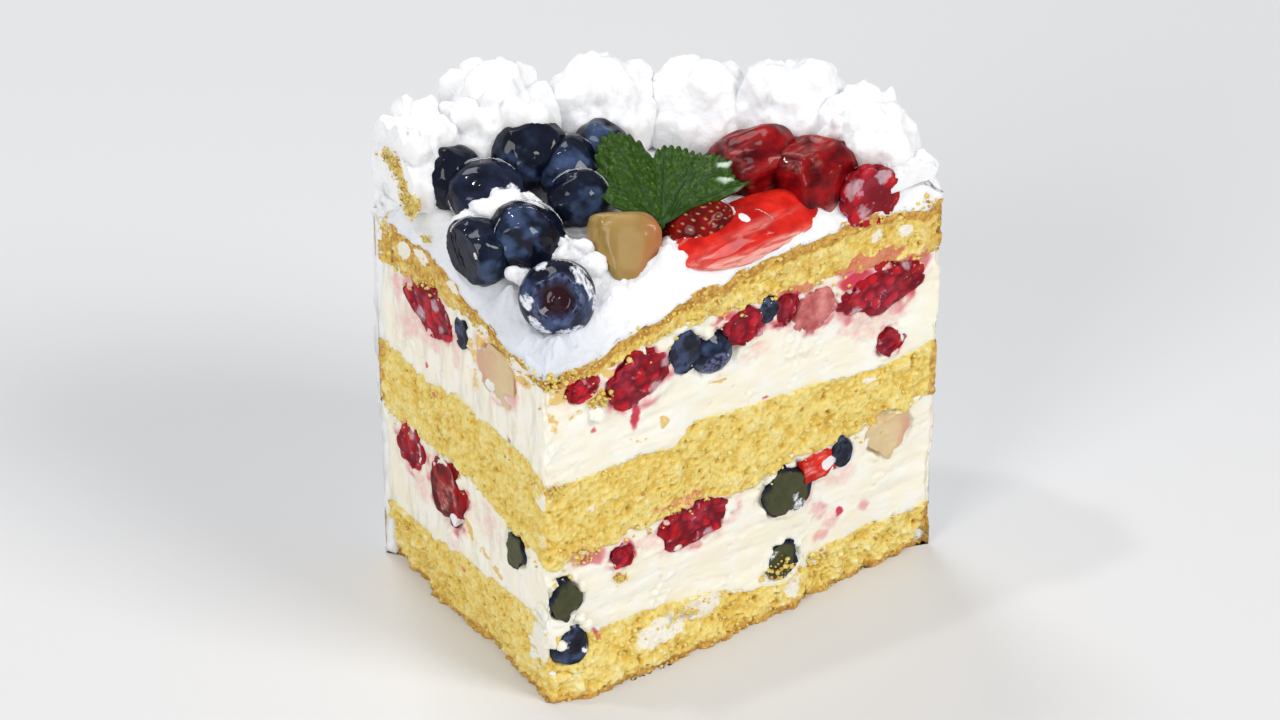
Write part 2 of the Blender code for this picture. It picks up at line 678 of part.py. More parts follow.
def make_stem(root):
    """The stem that stands in the cream, as a helper that is joined to the leaf."""
    foot, head = Vector(STEM_FOOT), Vector(LEAF_BASE)
    way = head - foot
    bm = bmesh.new()
    bmesh.ops.create_cone(
        bm, cap_ends=True, segments=8, radius1=STEM_RADIUS, radius2=STEM_RADIUS,
        depth=way.length + 2 * STEM_RADIUS,
    )
    bmesh.ops.rotate(bm, verts=bm.verts, matrix=way.to_track_quat("Z", "Y").to_matrix())
    bmesh.ops.translate(bm, verts=bm.verts, vec=(foot + head) / 2)
    return finish("stem", bm, foot, "leaf", root, helper=True)


def make_leaf(root, pockets):
    """A thin wavy leaf: both faces on one fan, so that they are split into triangles alike."""
    columns, rows = LEAF_CELLS
    first, last = LEAF_TURNS
    bm = bmesh.new()
    sheets = []
    for lift in (-LEAF_THICKNESS / 2, LEAF_THICKNESS / 2):
        middle = bm.verts.new(leaf_point(first, 0, lift))
        fan = []
        for i in range(columns + 1):
            turn = first + (last - first) * i / columns
            spoke = [bm.verts.new(leaf_point(turn, j / rows, lift)) for j in range(1, rows + 1)]
            fan.append([middle, *spoke])
        sheets.append(fan)
    for fan in sheets:
        for i in range(columns):
            bm.faces.new((fan[i][0], fan[i][1], fan[i + 1][1]))
            for j in range(1, rows):
                bm.faces.new((fan[i][j], fan[i][j + 1], fan[i + 1][j + 1]))
                bm.faces.new((fan[i][j], fan[i + 1][j + 1], fan[i + 1][j]))
    outline = [(0, j) for j in range(rows)] + [(i, rows) for i in range(columns)]
    outline += [(columns, j) for j in range(rows, 0, -1)]
    low, high = sheets
    for (i, j), (m, n) in zip(outline, outline[1:] + outline[:1]):
        bm.faces.new((low[i][j], low[m][n], high[m][n], high[i][j]))
    leaf = finish("leaf", bm, LEAF_BASE, "leaf", root)
    stem = make_stem(root)
    combine(leaf, [stem], "UNION")
    bpy.data.objects.remove(stem)
    combine(leaf, pockets, "DIFFERENCE")


def main():
    clear_scene()
    root = bpy.data.objects.new("diplomat_cake", None)
    root.location = Vector((-BASE_MIDDLE[0], -BASE_MIDDLE[1], 0)) * MM
    bpy.context.scene.collection.objects.link(root)
    pockets = []
    make_fruit(root, pockets)
    for name, under, over, kind in LAYERS:
        layer = make_layer(name, under, over, kind, root)
        combine(layer, pockets, "DIFFERENCE")
    make_coat(root)
    make_border(root, pockets)
    make_leaf(root, pockets)
    for pocket in pockets:
        bpy.data.objects.remove(pocket)


main()
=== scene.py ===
"""Looks of the diplomat cake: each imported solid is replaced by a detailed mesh.

Sizes are in millimetres in the cake frame, as in the part's own source: the origin is the foot of
the near corner, +X runs along the long cut face, +Y along the short one and +Z up. to_world()
turns them into the row frame.
"""

import itertools
import math
import random

import bpy
import numpy as np
from mathutils import Euler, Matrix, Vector


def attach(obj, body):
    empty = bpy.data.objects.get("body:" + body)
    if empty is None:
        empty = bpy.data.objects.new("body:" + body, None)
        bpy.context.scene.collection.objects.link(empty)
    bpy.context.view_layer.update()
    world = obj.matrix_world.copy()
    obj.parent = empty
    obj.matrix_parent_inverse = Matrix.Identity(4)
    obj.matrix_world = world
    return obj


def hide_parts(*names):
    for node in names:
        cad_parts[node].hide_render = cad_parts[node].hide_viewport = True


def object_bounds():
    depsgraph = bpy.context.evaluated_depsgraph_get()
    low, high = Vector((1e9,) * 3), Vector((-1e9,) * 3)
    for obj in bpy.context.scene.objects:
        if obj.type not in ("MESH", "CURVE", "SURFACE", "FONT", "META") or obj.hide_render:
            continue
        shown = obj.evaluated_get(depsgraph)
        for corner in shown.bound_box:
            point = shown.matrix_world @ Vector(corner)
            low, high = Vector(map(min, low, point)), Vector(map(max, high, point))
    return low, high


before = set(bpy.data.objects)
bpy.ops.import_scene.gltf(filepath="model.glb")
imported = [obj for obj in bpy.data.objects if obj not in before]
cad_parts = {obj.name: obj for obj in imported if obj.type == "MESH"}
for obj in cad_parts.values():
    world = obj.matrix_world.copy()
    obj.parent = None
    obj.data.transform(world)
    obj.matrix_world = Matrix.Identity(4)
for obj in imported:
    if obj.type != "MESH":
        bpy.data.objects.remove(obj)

CAD_LOW, CAD_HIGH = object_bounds()

MM = 0.001
BASE_MIDDLE = np.array((43.0, 28.0, 0.0))
BOX_LOW = np.array(CAD_LOW) / MM + BASE_MIDDLE
BOX_HIGH = np.array(CAD_HIGH) / MM + BASE_MIDDLE
BOX_MARGIN = 0.02

# ---- form ----

# The part's own values. These differ from it: peach_top and raspberry_top, and the leaf's thickness
# and stem. Some fruit has another kind here, which changes its skin and not its place or size.

ROUND_CENTRE_X = 25.4
ROUND_RADIUS = 62.5
COAT_THICKNESS = 2.9
MEETINGS = {
    "sponge_bottom_top": (
        ((0, 15.0), (11, 11.9), (25, 11.2), (41, 8.5), (51, 5.6), (57, 6.0), (63, 9.3), (85, 9.6)),
        ((0, 15.0), (6, 17.5), (19, 16.0), (37, 14.0), (54, 12.8)),
    ),
    "sponge_middle_base": (
        ((0, 29.5), (11, 30.5), (30, 32.2), (43, 29.8), (54, 32.6), (76, 33.2), (85, 35.2)),
        ((0, 29.5), (5, 31.5), (13, 32.3), (25, 35.6), (40, 34.8), (54, 35.1)),
    ),
    "sponge_middle_top": (
        (
            (0, 47.0), (21, 46.9), (28, 45.2), (32, 49.2), (43, 48.6), (65, 46.3), (74, 45.4),
            (85, 46.6),
        ),
        ((0, 47.0), (6, 50.6), (30, 50.7), (40, 48.8), (54, 49.3)),
    ),
    "sponge_top_base": (
        ((0, 68.6), (16, 69.3), (27, 71.0), (43, 71.4), (54, 70.0), (64, 69.3), (85, 67.2)),
        ((0, 68.6), (17, 70.8), (30, 71.2), (39, 70.0), (54, 67.8)),
    ),
    "sponge_top_top": (
        (
            (0, 70.6), (12, 71.4), (16, 74.0), (25, 75.6), (31, 77.8), (37, 77.6), (50, 80.0),
            (73, 80.0), (85, 77.4),
        ),
        ((0, 70.6), (10, 71.8), (17, 73.2), (24, 74.8), (31, 77.8), (48, 77.8), (54, 75.4)),
    ),
}
SHEET_EDGE = 1.3
SHEET_EDGE_WIDTH = 5.0
SHEET_EDGE_SHARE = 0.3
DIP = 10.0
DIP_SPREAD = (27.0, 24.0)
RING_LEVEL = 84.4
RING_WIDTH = 19.0
RING_SLOPE = 6.0
LONG_FOOT = ((0, 0.3), (8, 3.3), (36, 3.3), (56, 1.7), (72, 0.0), (85, -0.8))
SHORT_FOOT = ((0, 0.0), (10, -0.4), (20, -1.3), (28, -0.8), (40, -0.4), (43, -1.8), (54, -1.2))
FOOT_HEIGHT = 13.0

# Piped border: name, place, base radius, height over the ring, turn of its lobes in degrees.
ROSETTES = (
    ("rosette_1", (4.9, 50.3), 9.4, 14.4, 20),
    ("rosette_2", (22.8, 50.4), 11.0, 16.8, 75),
    ("rosette_3", (43.4, 45.8), 10.6, 13.6, 5),
    ("rosette_4", (58.8, 37.3), 10.2, 12.0, 40),
    ("rosette_5", (71.8, 26.2), 10.6, 13.6, 60),
    ("rosette_6", (78.4, 12.6), 9.0, 11.6, 15),
    ("rosette_7", (81.0, 3.0), 6.2, 3.2, 50),
)
DOLLOP = ((74.6, 7.6, 90.4), 3.6)
ROSETTE_SKIRT = (7, 0.58, 0.24, (0.42, 0.30, 0.38), 0.0)

# Fruit on top: name, kind, centre, radii, rotation in degrees.
TOP_FRUIT = (
    ("blueberry_1", "blueberry", (9.3, 9.4, 80.5), (7.2, 7.2, 6.9), (62, 0, -34)),
    ("blueberry_2", "dark_berry", (11.8, 22.6, 85.2), (8.0, 7.0, 6.6), (20, 30, 10)),
    ("blueberry_3", "dark_berry", (3.4, 25.6, 83.6), (6.2, 6.8, 6.4), (10, -20, 0)),
    ("blueberry_4", "dark_berry", (11.6, 36.0, 87.4), (7.6, 7.0, 6.6), (-15, 10, 0)),
    ("blueberry_5", "dark_berry", (8.6, 43.0, 88.0), (6.3, 6.0, 6.2), (0, 15, 0)),
    ("blueberry_6", "dark_berry", (23.4, 39.8, 90.4), (7.4, 7.0, 6.6), (-12, -14, 0)),
    ("blueberry_7", "dark_berry", (28.4, 34.2, 87.6), (6.6, 6.6, 6.2), (30, 40, 0)),
    ("blueberry_8", "dark_berry", (25.0, 26.2, 87.0), (6.2, 5.4, 5.2), (-30, 0, 0)),
    ("blueberry_9", "dark_berry", (36.0, 35.6, 88.8), (5.6, 5.6, 5.4), (0, 20, 0)),
    ("peach_top", "peach", (26.2, 13.2, 84.0), (7.6, 4.6, 6.2), (-30, 4, -26)),
    ("strawberry_1", "strawberry", (39.6, 9.6, 83.8), (5.6, 5.6, 7.2), (58, 0, 62)),
    ("strawberry_2", "slice", (48.6, 5.9, 82.6), (15.2, 6.4, 3.8), (24, -8, 3)),
    ("strawberry_3", "jellied", (57.6, 18.4, 87.0), (7.6, 6.0, 8.4), (80, 0, 80)),
    ("strawberry_4", "jellied", (65.4, 10.4, 87.2), (7.0, 6.0, 8.0), (84, 0, 20)),
    ("raspberry_top", "raspberry", (71.6, 1.8, 83.3), (6.2, 5.6, 6.4), (20, 10, 0)),
)

# Fruit in the fillings where a cut face shows it: name, kind, distance along the face, height,
# half width, half height, depth of its middle behind the face, how proud it stands.
LONG_FACE_FRUIT = (
    ("raspberry_u1", "raspberry", 8.2, 66.4, 3.6, 2.7, 1.0, 0.0),
    ("raspberry_u2", "raspberry", 20.4, 63.8, 7.6, 5.8, 2.0, 0.3),
    ("blueberry_u1", "blueberry", 30.4, 65.6, 3.8, 4.6, 1.2, 0.0),
    ("blueberry_u2", "blueberry", 37.0, 62.8, 5.1, 5.1, 3.6, 1.5),
    ("raspberry_u3", "raspberry", 43.4, 66.6, 5.2, 3.9, 1.6, 0.2),
    ("blueberry_u3", "blueberry", 48.6, 68.2, 2.4, 3.0, 1.0, 0.0),
    ("raspberry_u4", "raspberry", 52.6, 66.6, 2.8, 3.6, 1.0, 0.0),
    ("strawberry_u1", "red_chunk", 58.8, 64.2, 5.0, 4.3, 2.0, 0.2),
    ("raspberry_u5", "raspberry", 74.2, 63.0, 9.2, 5.6, 2.4, 0.4),
    ("raspberry_u6", "raspberry", 76.4, 50.6, 3.0, 3.1, 1.0, 0.2),
    ("raspberry_l1", "raspberry", 33.0, 27.0, 8.6, 4.9, 2.0, 0.0),
    ("raspberry_l2", "raspberry", 16.6, 26.6, 2.6, 2.6, 0.8, 0.2),
    ("blueberry_l1", "cut_blueberry", 53.0, 26.4, 6.1, 5.9, 1.6, 0.2),
    ("strawberry_l1", "red_chunk", 61.2, 28.6, 3.6, 2.9, 1.2, 0.2),
    ("blueberry_l2", "blueberry", 66.4, 29.6, 2.5, 3.2, 1.0, 0.2),
    ("peach_l1", "peach", 77.2, 30.2, 5.4, 5.3, 2.2, 0.2),
    ("blueberry_l3", "cut_blueberry", 53.0, 10.6, 4.2, 4.2, 1.2, 0.0),
    ("blueberry_l4", "cut_blueberry", 4.4, 21.6, 3.9, 5.3, 2.6, 0.2),
    ("blueberry_l5", "blueberry", 5.2, 11.0, 4.6, 4.5, 2.8, 0.4),
)
SHORT_FACE_FRUIT = (
    ("raspberry_s1", "raspberry", 38.0, 65.8, 8.4, 5.4, 2.2, 0.0),
    ("blueberry_s1", "blueberry", 27.4, 66.4, 2.4, 3.6, 1.0, 0.0),
    ("strawberry_s1", "red_chunk", 16.4, 64.2, 6.2, 5.6, 2.2, 0.0),
    ("raspberry_s2", "raspberry", 47.0, 30.0, 4.4, 5.4, 1.8, 0.0),
    ("strawberry_s2", "red_chunk", 33.6, 27.2, 6.6, 7.6, 2.4, 0.2),
    ("blueberry_s2", "cut_blueberry", 10.6, 28.2, 3.4, 4.2, 1.4, 0.2),
)
FRUIT_DEPTH = 5.0

# The leaf: the foot and the plane of its solid.
LEAF_BASE = (34.8, 12.9, 88.2)
LEAF_ACROSS = (0.826, -0.564, 0.0)
LEAF_RISE = (0.507, 0.743, 0.438)
LEAF_THICKNESS = 0.4
LEAF_WAVE = 0.8
LEAF_DROOP = 1.6
STEM_FOOT = (34.4, 14.0, 83.4)
STEM_RADIUS = 0.6


# ---- noise ----


def hashed(cell, seed):
    """A draw from 0 to 1 for each cell of an integer lattice."""
    x, y, z = (cell[..., k].astype(np.uint32) for k in range(3))
    mixed = x * np.uint32(374761393) + y * np.uint32(668265263) + z * np.uint32(2246822519)
    mixed = mixed + np.uint32(seed * 97411 % 4294967291)
    mixed = (mixed ^ (mixed >> np.uint32(13))) * np.uint32(1274126177)
    mixed = (mixed ^ (mixed >> np.uint32(16))) * np.uint32(2654435761)
    mixed = mixed ^ (mixed >> np.uint32(15))
    return mixed / 4294967295


def wave(points, size, seed=0):
    """Smooth noise from -1 to 1 whose swells are about this size."""
    at = np.asarray(points, float) / size
    low = np.floor(at).astype(np.int64)
    part = at - low
    part = part * part * (3 - 2 * part)
    total = np.zeros(at.shape[:-1])
    for corner in itertools.product((0, 1), repeat=3):
        side = np.where(np.array(corner, bool), part, 1 - part)
        total += side[..., 0] * side[..., 1] * side[..., 2] * hashed(low + np.array(corner), seed)
    return 2 * total - 1


def fractal(points, size, seed=0, octaves=3):
    """Noise with finer noise on it, each octave half the size and half the strength."""
    total = np.zeros(np.asarray(points).shape[:-1])
    for octave in range(octaves):
        total += wave(points, size / 2**octave, seed + octave) / 2**octave
    return total


def ridged(points, size, seed=0, octaves=2):
    """Noise with sharp ridges and broad hollows, from about -1 to 1.5."""
    total = np.zeros(np.asarray(points).shape[:-1])
    for octave in range(octaves):
        total += (1 - 2.6 * np.abs(wave(points, size / 2**octave, seed + octave))) / 2**octave
    return total


def cells(points, size, seed=0):
    """Nearest and second nearest of scattered spots, in sizes, and the nearest spot's draw."""
    at = np.asarray(points, float) / size
    low = np.floor(at).astype(np.int64)
    first = np.full(at.shape[:-1], 9.0)
    second = np.full(at.shape[:-1], 9.0)
    draw = np.zeros(at.shape[:-1])
    for step in itertools.product((-1, 0, 1), repeat=3):
        cell = low + np.array(step)
        spot = cell + np.stack([hashed(cell, seed + k) for k in (1, 2, 3)], axis=-1)
        gap = np.linalg.norm(at - spot, axis=-1)
        closer = gap < first
        second = np.where(closer, first, np.minimum(second, gap))
        draw = np.where(closer, hashed(cell, seed + 4), draw)
        first = np.where(closer, gap, first)
    return first, second, draw


def smooth(value, low, high):
    """0 up to low, 1 from high on and an even rise between."""
    share = np.clip((np.asarray(value, float) - low) / (high - low), 0.0, 1.0)
    return share * share * (3 - 2 * share)


def soft_excess(value, width):
    """How far a value is over 0, rounded off over this width."""
    return width * np.log1p(np.exp(np.clip(value / width, -40, 40)))


def channels(*values):
    """Values side by side as masks or coordinates, where a number stands for all points."""
    return np.stack(np.broadcast_arrays(*values), -1)


# ---- meshes ----


def to_world(points):
    """Cake frame to row frame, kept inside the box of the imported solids."""
    inside = np.clip(points, BOX_LOW + BOX_MARGIN, BOX_HIGH - BOX_MARGIN)
    return (inside - BASE_MIDDLE) * MM


def add_object(name, data):
    added = bpy.data.objects.new(name, data)
    bpy.context.scene.collection.objects.link(added)
    return added


def make_piece(name, points, faces, material, nodes=(), masks=None):
    """A shown piece: points in the cake frame, arrays of triangles and quads, and its masks.

    masks holds up to four values from 0 to 1 for each point, which the material reads as the
    red, green, blue and alpha of the attribute called masks.
    """
    points = to_world(np.asarray(points, float).reshape(-1, 3))
    mesh = bpy.data.meshes.new(name)
    mesh.vertices.add(len(points))
    mesh.vertices.foreach_set("co", points.astype(np.float32).ravel())
    corners = np.concatenate([np.asarray(group).ravel() for group in faces]).astype(np.int32)
    sizes = np.concatenate([np.full(len(group), np.asarray(group).shape[1]) for group in faces])
    mesh.loops.add(len(corners))
    mesh.loops.foreach_set("vertex_index", corners)
    mesh.polygons.add(len(sizes))
    starts = np.concatenate([[0], np.cumsum(sizes)[:-1]]).astype(np.int32)
    mesh.polygons.foreach_set("loop_start", starts)
    mesh.polygons.foreach_set("use_smooth", np.ones(len(sizes), bool))
    mesh.update(calc_edges=True)
    mesh.validate()
    if masks is not None:
        values = np.zeros((len(points), 4), np.float32)
        values[:, : masks.shape[1]] = masks
        layer = mesh.attributes.new("masks", "FLOAT_COLOR", "POINT")
        layer.data.foreach_set("color", values.ravel())
    mesh.materials.append(material)
    piece = add_object(name, mesh)
    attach(piece, "root")
    if nodes:
        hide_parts(*nodes)
    return piece


def ring_faces(rows, columns, first=0):
    """Quads between rows of closed rings, facing out when the rings run anticlockwise upwards."""
    row, column = np.meshgrid(np.arange(rows - 1), np.arange(columns), indexing="ij")
    after = (column + 1) % columns
    low, high = first + row * columns, first + (row + 1) * columns
    return np.stack([low + column, low + after, high + after, high + column], -1).reshape(-1, 4)


def fan_faces(ring, middle, upward):
    """Triangles from a closed ring of points to one middle point."""
    after = np.roll(ring, -1)
    middles = np.full(len(ring), middle)
    pair = (ring, after) if upward else (after, ring)
    return np.stack([*pair, middles], -1)


def cap_faces(first, width, count, forward):
    """Quads that close one end of a double sheet, whose rows run out and back over this width."""
    low = first + np.arange(count - 1)
    high = first + width - 1 - np.arange(count - 1)
    pair = (low, low + 1, high - 1, high)
    return np.stack(pair if forward else pair[::-1], -1)


def ball(rows, columns):
    """Unit directions over a ball with its poles on Z, and the faces over them."""
    polar = np.pi * np.arange(rows, 0, -1) / (rows + 1)
    turn = 2 * np.pi * np.arange(columns) / columns
    polar, turn = np.meshgrid(polar, turn, indexing="ij")
    grid = np.stack([np.sin(polar) * np.cos(turn), np.sin(polar) * np.sin(turn), np.cos(polar)], -1)
    ways = np.concatenate([grid.reshape(-1, 3), ((0, 0, -1), (0, 0, 1))])
    bottom, top = rows * columns, rows * columns + 1
    first = np.arange(columns)
    faces = [
        ring_faces(rows, columns),
        fan_faces(first, bottom, upward=False),
        fan_faces(first + (rows - 1) * columns, top, upward=True),
    ]
    return ways, faces


def join_parts(parts):
    """One set of points, faces and masks from several (points, faces, masks)."""
    points, faces, masks, count = [], [], [], 0
    for some_points, some_faces, some_masks in parts:
        points.append(some_points)
        faces += [np.asarray(group) + count for group in some_faces]
        masks.append(some_masks)
        count += len(some_points)
    return np.concatenate(points), faces, np.concatenate(masks)


# ---- materials ----

IVORY = (0.95, 0.88, 0.71)
WHITE = (0.96, 0.967, 0.98)


class Paint:
    """A material's node tree, with one short call for each kind of node. Sizes are in millimetres."""

    def __init__(self, name, roughness=0.5, **fixed):
        self.material = bpy.data.materials.new(name)
        self.material.use_nodes = True
        self.tree = self.material.node_tree
        self.shader = self.tree.nodes["Principled BSDF"]
        self.shader.inputs["Roughness"].default_value = roughness
        for socket, value in fixed.items():
            self.shader.inputs[socket.replace("_", " ")].default_value = value
        place = self.node("TexCoord").outputs["Object"]
        scaled = self.node("VectorMath", {0: place, "Scale": 1 / MM}, operation="SCALE")
        self.place = scaled.outputs[0]
        attribute = self.node("Attribute", attribute_name="masks")
        split = self.node("SeparateColor", {0: attribute.outputs["Color"]})
        self.masks = (*split.outputs, attribute.outputs["Alpha"])

    def put(self, socket, value):
        if isinstance(value, bpy.types.NodeSocket):
            self.tree.links.new(value, socket)
        elif isinstance(value, tuple):
            socket.default_value = (*value, 1) if len(socket.default_value) == 4 else value
        else:
            socket.default_value = value

    def node(self, kind, inputs=(), **settings):
        """A new node with these settings, and its inputs as a value or a link for each name."""
        node = self.tree.nodes.new("ShaderNode" + kind)
        for setting, value in settings.items():
            setattr(node, setting, value)
        for socket, value in dict(inputs).items():
            self.put(node.inputs[socket], value)
        return node

    def noise(self, size, detail=3.0, roughness=0.55, stretch=None):
        place = self.place
        if stretch:
            place = self.node("VectorMath", {0: place, 1: stretch}, operation="MULTIPLY").outputs[0]
        inputs = {"Vector": place, "Scale": 1 / size, "Detail": detail, "Roughness": roughness}
        return self.node("TexNoise", inputs).outputs["Fac"]

    def between(self, value, low, high):
        inputs = {"Value": value, "From Min": low, "From Max": high}
        return self.node("MapRange", inputs, interpolation_type="SMOOTHSTEP").outputs["Result"]

    def math(self, operation, *values):
        return self.node("Math", dict(enumerate(values)), operation=operation).outputs[0]

    def times(self, first, second):
        return self.math("MULTIPLY", first, second)

    def mix(self, share, first, second):
        inputs = {"Factor": share, 6: first, 7: second}
        return self.node("Mix", inputs, data_type="RGBA").outputs[2]

    def tint(self, colour, other, mask, strength):
        """A colour with another over it, as strong as the mask times this."""
        return self.mix(self.times(mask, strength), colour, other)

    def patchy(self, mask, noise, low=0.45, high=0.62, strength=0.5):
        """A mask whose edge is broken up by a noise."""
        shifted = self.math("MULTIPLY_ADD", noise, strength, -strength / 2)
        return self.between(self.math("ADD", mask, shifted), low, high)

    def bump(self, height, distance, strength=1.0, below=None):
        inputs = {"Height": height, "Distance": distance * MM, "Strength": strength}
        if below is not None:
            inputs["Normal"] = below
        return self.node("Bump", inputs).outputs["Normal"]

    def finish(self, colour, normal=None):
        self.put(self.shader.inputs["Base Color"], colour)
        if normal is not None:
            self.put(self.shader.inputs["Normal"], normal)
        return self.material


def soft(weight, depth, colour_radius=(1.0, 0.7, 0.45)):
    """Settings for light that goes into the surface, as deep as this many millimetres."""
    return {
        "Subsurface_Weight": weight,
        "Subsurface_Radius": colour_radius,
        "Subsurface_Scale": depth * MM,
    }


def sponge_material():
    """Open yellow crumb, gold and then brown deeper in its pores as painted shade, and pale on its
    lumps as painted highlight. Masks: red juice, crust, smeared cream, hollows.
    """
    light = soft(0.15, 1.4, (1.0, 0.75, 0.3))
    paint = Paint("sponge", roughness=0.8, Specular_IOR_Level=0.3, **light)
    juice, crust, cream, hollow = paint.masks
    grain, blotch, fine = paint.noise(0.7, 5, 0.7), paint.noise(7.0, 2), paint.noise(0.3, 3)
    # Painted light: the pore depth, broken by grain, makes the crumb gold and, deepest in, brown as
    # painted shade, and pale on the lumps as painted highlight.
    deep = paint.math("ADD", hollow, paint.times(paint.math("SUBTRACT", grain, 0.5), 0.9))
    colour = paint.mix(paint.between(deep, 0.30, 0.74), (0.93, 0.75, 0.25), (0.80, 0.52, 0.08))
    painted_highlight = paint.between(deep, 0.30, 0.10)
    colour = paint.tint(colour, (0.98, 0.92, 0.60), painted_highlight, 0.8)
    colour = paint.tint(colour, (0.88, 0.66, 0.12), blotch, 0.2)
    colour = paint.tint(colour, (0.52, 0.25, 0.025), paint.between(deep, 0.76, 1.05), 0.8)
    browned = paint.between(paint.noise(1.1, 3), 0.35, 0.65)
    gold = paint.mix(browned, (0.50, 0.24, 0.045), (0.78, 0.48, 0.10))
    colour = paint.mix(paint.patchy(crust, grain, 0.4, 0.8), colour, gold)
    red = paint.mix(paint.noise(1.5, 2), (0.55, 0.03, 0.03), (0.84, 0.30, 0.22))
    colour = paint.tint(colour, red, paint.patchy(juice, grain), 0.8)
    colour = paint.mix(paint.patchy(cream, grain, 0.4, 0.55, 0.8), colour, (0.95, 0.90, 0.78))
    normal = paint.bump(paint.noise(1.7, 4), 0.6, 0.5)
    normal = paint.bump(grain, 0.45, 0.7, below=normal)
    normal = paint.bump(fine, 0.16, 0.7, below=normal)
    return paint.finish(colour, normal)


def filling_material():
    """Ivory cream. Masks: red juice, yellow crumbs, blue juice, and streaks on the short cut that get
    painted shade.
    """
    paint = Paint("filling_cream", roughness=0.42, **soft(0.35, 2.2))
    juice, crumb, blue, streak_shade = paint.masks
    grain, cloud = paint.noise(0.9, 4), paint.noise(7.0, 3)
    colour = paint.mix(paint.between(cloud, 0.35, 0.7), IVORY, (0.97, 0.94, 0.85))
    # Painted shade: streaks on the short cut turn darker and greyer.
    colour = paint.tint(colour, (0.68, 0.63, 0.52), streak_shade, 0.5)
    pink = paint.mix(paint.between(juice, 0.45, 0.95), (0.86, 0.50, 0.48), (0.62, 0.03, 0.07))
    colour = paint.mix(paint.patchy(juice, paint.noise(1.8, 5, 0.65), 0.22, 0.75, 0.7), colour, pink)
    colour = paint.mix(paint.patchy(blue, grain, 0.3, 0.8, 0.3), colour, (0.30, 0.25, 0.38))
    colour = paint.mix(paint.patchy(crumb, grain), colour, (0.80, 0.55, 0.18))
    normal = paint.bump(paint.noise(1.6, 4), 0.16, 0.6)
    normal = paint.bump(paint.noise(0.5, 3), 0.05, 0.5, below=normal)
    return paint.finish(colour, normal)


def whipped_material():
    """White whipped cream. Masks: red juice, yellow crumbs, creases that get painted shade, and a broad
    painted shade in greyish blue.
    """
    paint = Paint("whipped_cream", roughness=0.5, **soft(0.4, 2.6, (1.0, 0.9, 0.8)))
    juice, crumb, crease_shade, shade = paint.masks
    grain = paint.noise(0.9, 4)
    colour = paint.mix(paint.noise(6.0, 2), WHITE, (0.96, 0.96, 0.965))
    # Painted shade: a broad greyish-blue tint, and a darker one in the creases.
    colour = paint.mix(shade, colour, (0.62, 0.66, 0.74))
    colour = paint.tint(colour, (0.58, 0.62, 0.70), crease_shade, 0.28)
    pink = paint.mix(paint.between(juice, 0.5, 1.0), (0.90, 0.68, 0.70), (0.72, 0.10, 0.14))
    colour = paint.mix(paint.patchy(juice, grain, 0.2, 0.8, 0.3), colour, pink)
    yellow = paint.mix(paint.between(grain, 0.4, 0.6), (0.80, 0.56, 0.10), (0.92, 0.78, 0.34))
    colour = paint.mix(paint.patchy(crumb, grain), colour, yellow)
    normal = paint.bump(grain, 0.30, 0.7)
    normal = paint.bump(paint.noise(0.4, 3), 0.12, 0.7, below=normal)
    return paint.finish(colour, normal)


# ---- levels and faces ----


def profile(points, at):
    return np.interp(at, *zip(*points))


def meeting_height(meeting, x, y):
    """The height at which two layers meet, from the profiles of that line on both cuts."""
    along, across = MEETINGS[meeting]
    share = np.where(x + y < 1e-6, 0.5, x * x / np.maximum(x * x + y * y, 1e-9))
    return share * profile(along, x) + (1 - share) * profile(across, y)


def sheet_top(x, y):
    """The height of the whipped cream on top, hollow towards the near corner."""
    spread = (x / DIP_SPREAD[0]) ** 2 + (y / DIP_SPREAD[1]) ** 2
    free = RING_LEVEL - DIP * np.exp(-spread)
    inward = ROUND_RADIUS - np.hypot(x - ROUND_CENTRE_X, y)
    ring = 1 - smooth(inward, RING_WIDTH, RING_WIDTH + RING_SLOPE)
    level = free * (1 - ring) + RING_LEVEL * ring
    sponge = meeting_height("sponge_top_top", x, y)
    share = SHEET_EDGE_SHARE + (1 - SHEET_EDGE_SHARE) * smooth(np.minimum(x, y), 0, SHEET_EDGE_WIDTH)
    return np.maximum(sponge + SHEET_EDGE, sponge + (level - sponge) * share)


def level_height(level, x, y):
    """The height of a named level over points of the plan, ragged as crumb is."""
    if level == "floor":
        return np.zeros(np.shape(x))
    if level == "sheet_top":
        return sheet_top(x, y)
    flat = np.stack([x, y, np.full(np.shape(x), len(level) * 7.0)], -1)
    ragged = 0.55 * fractal(flat, 3.0, 11, 4) + 0.22 * wave(flat, 0.8, 12)
    return meeting_height(level, x, y) + ragged


EDGE_INSET = 0.7  # how far the layers end inside the coat's outer side
TUCK = 1.5  # how much further in they end under the coat, away from the cuts
TUCK_SPAN = (2.0, 8.0)  # over these distances from a cut
LONG_END_OUT = 0.6  # how much further they reach where the long cut ends
LONG_END_SPAN = 5.0
LONG_END_FROM = 84.0
LAYER_RADIUS = ROUND_RADIUS - EDGE_INSET
CORNER_ROUND = 1.4
CORNER_FADE = 3.0  # how far from the corner the cream is torn
FACE_STEP, CREAM_STEP = 0.34, 0.42
ARC_COLUMNS = 64
FACE_INSET = 0.35
LAYER_OVERLAP = 0.3  # how far layers run into each other


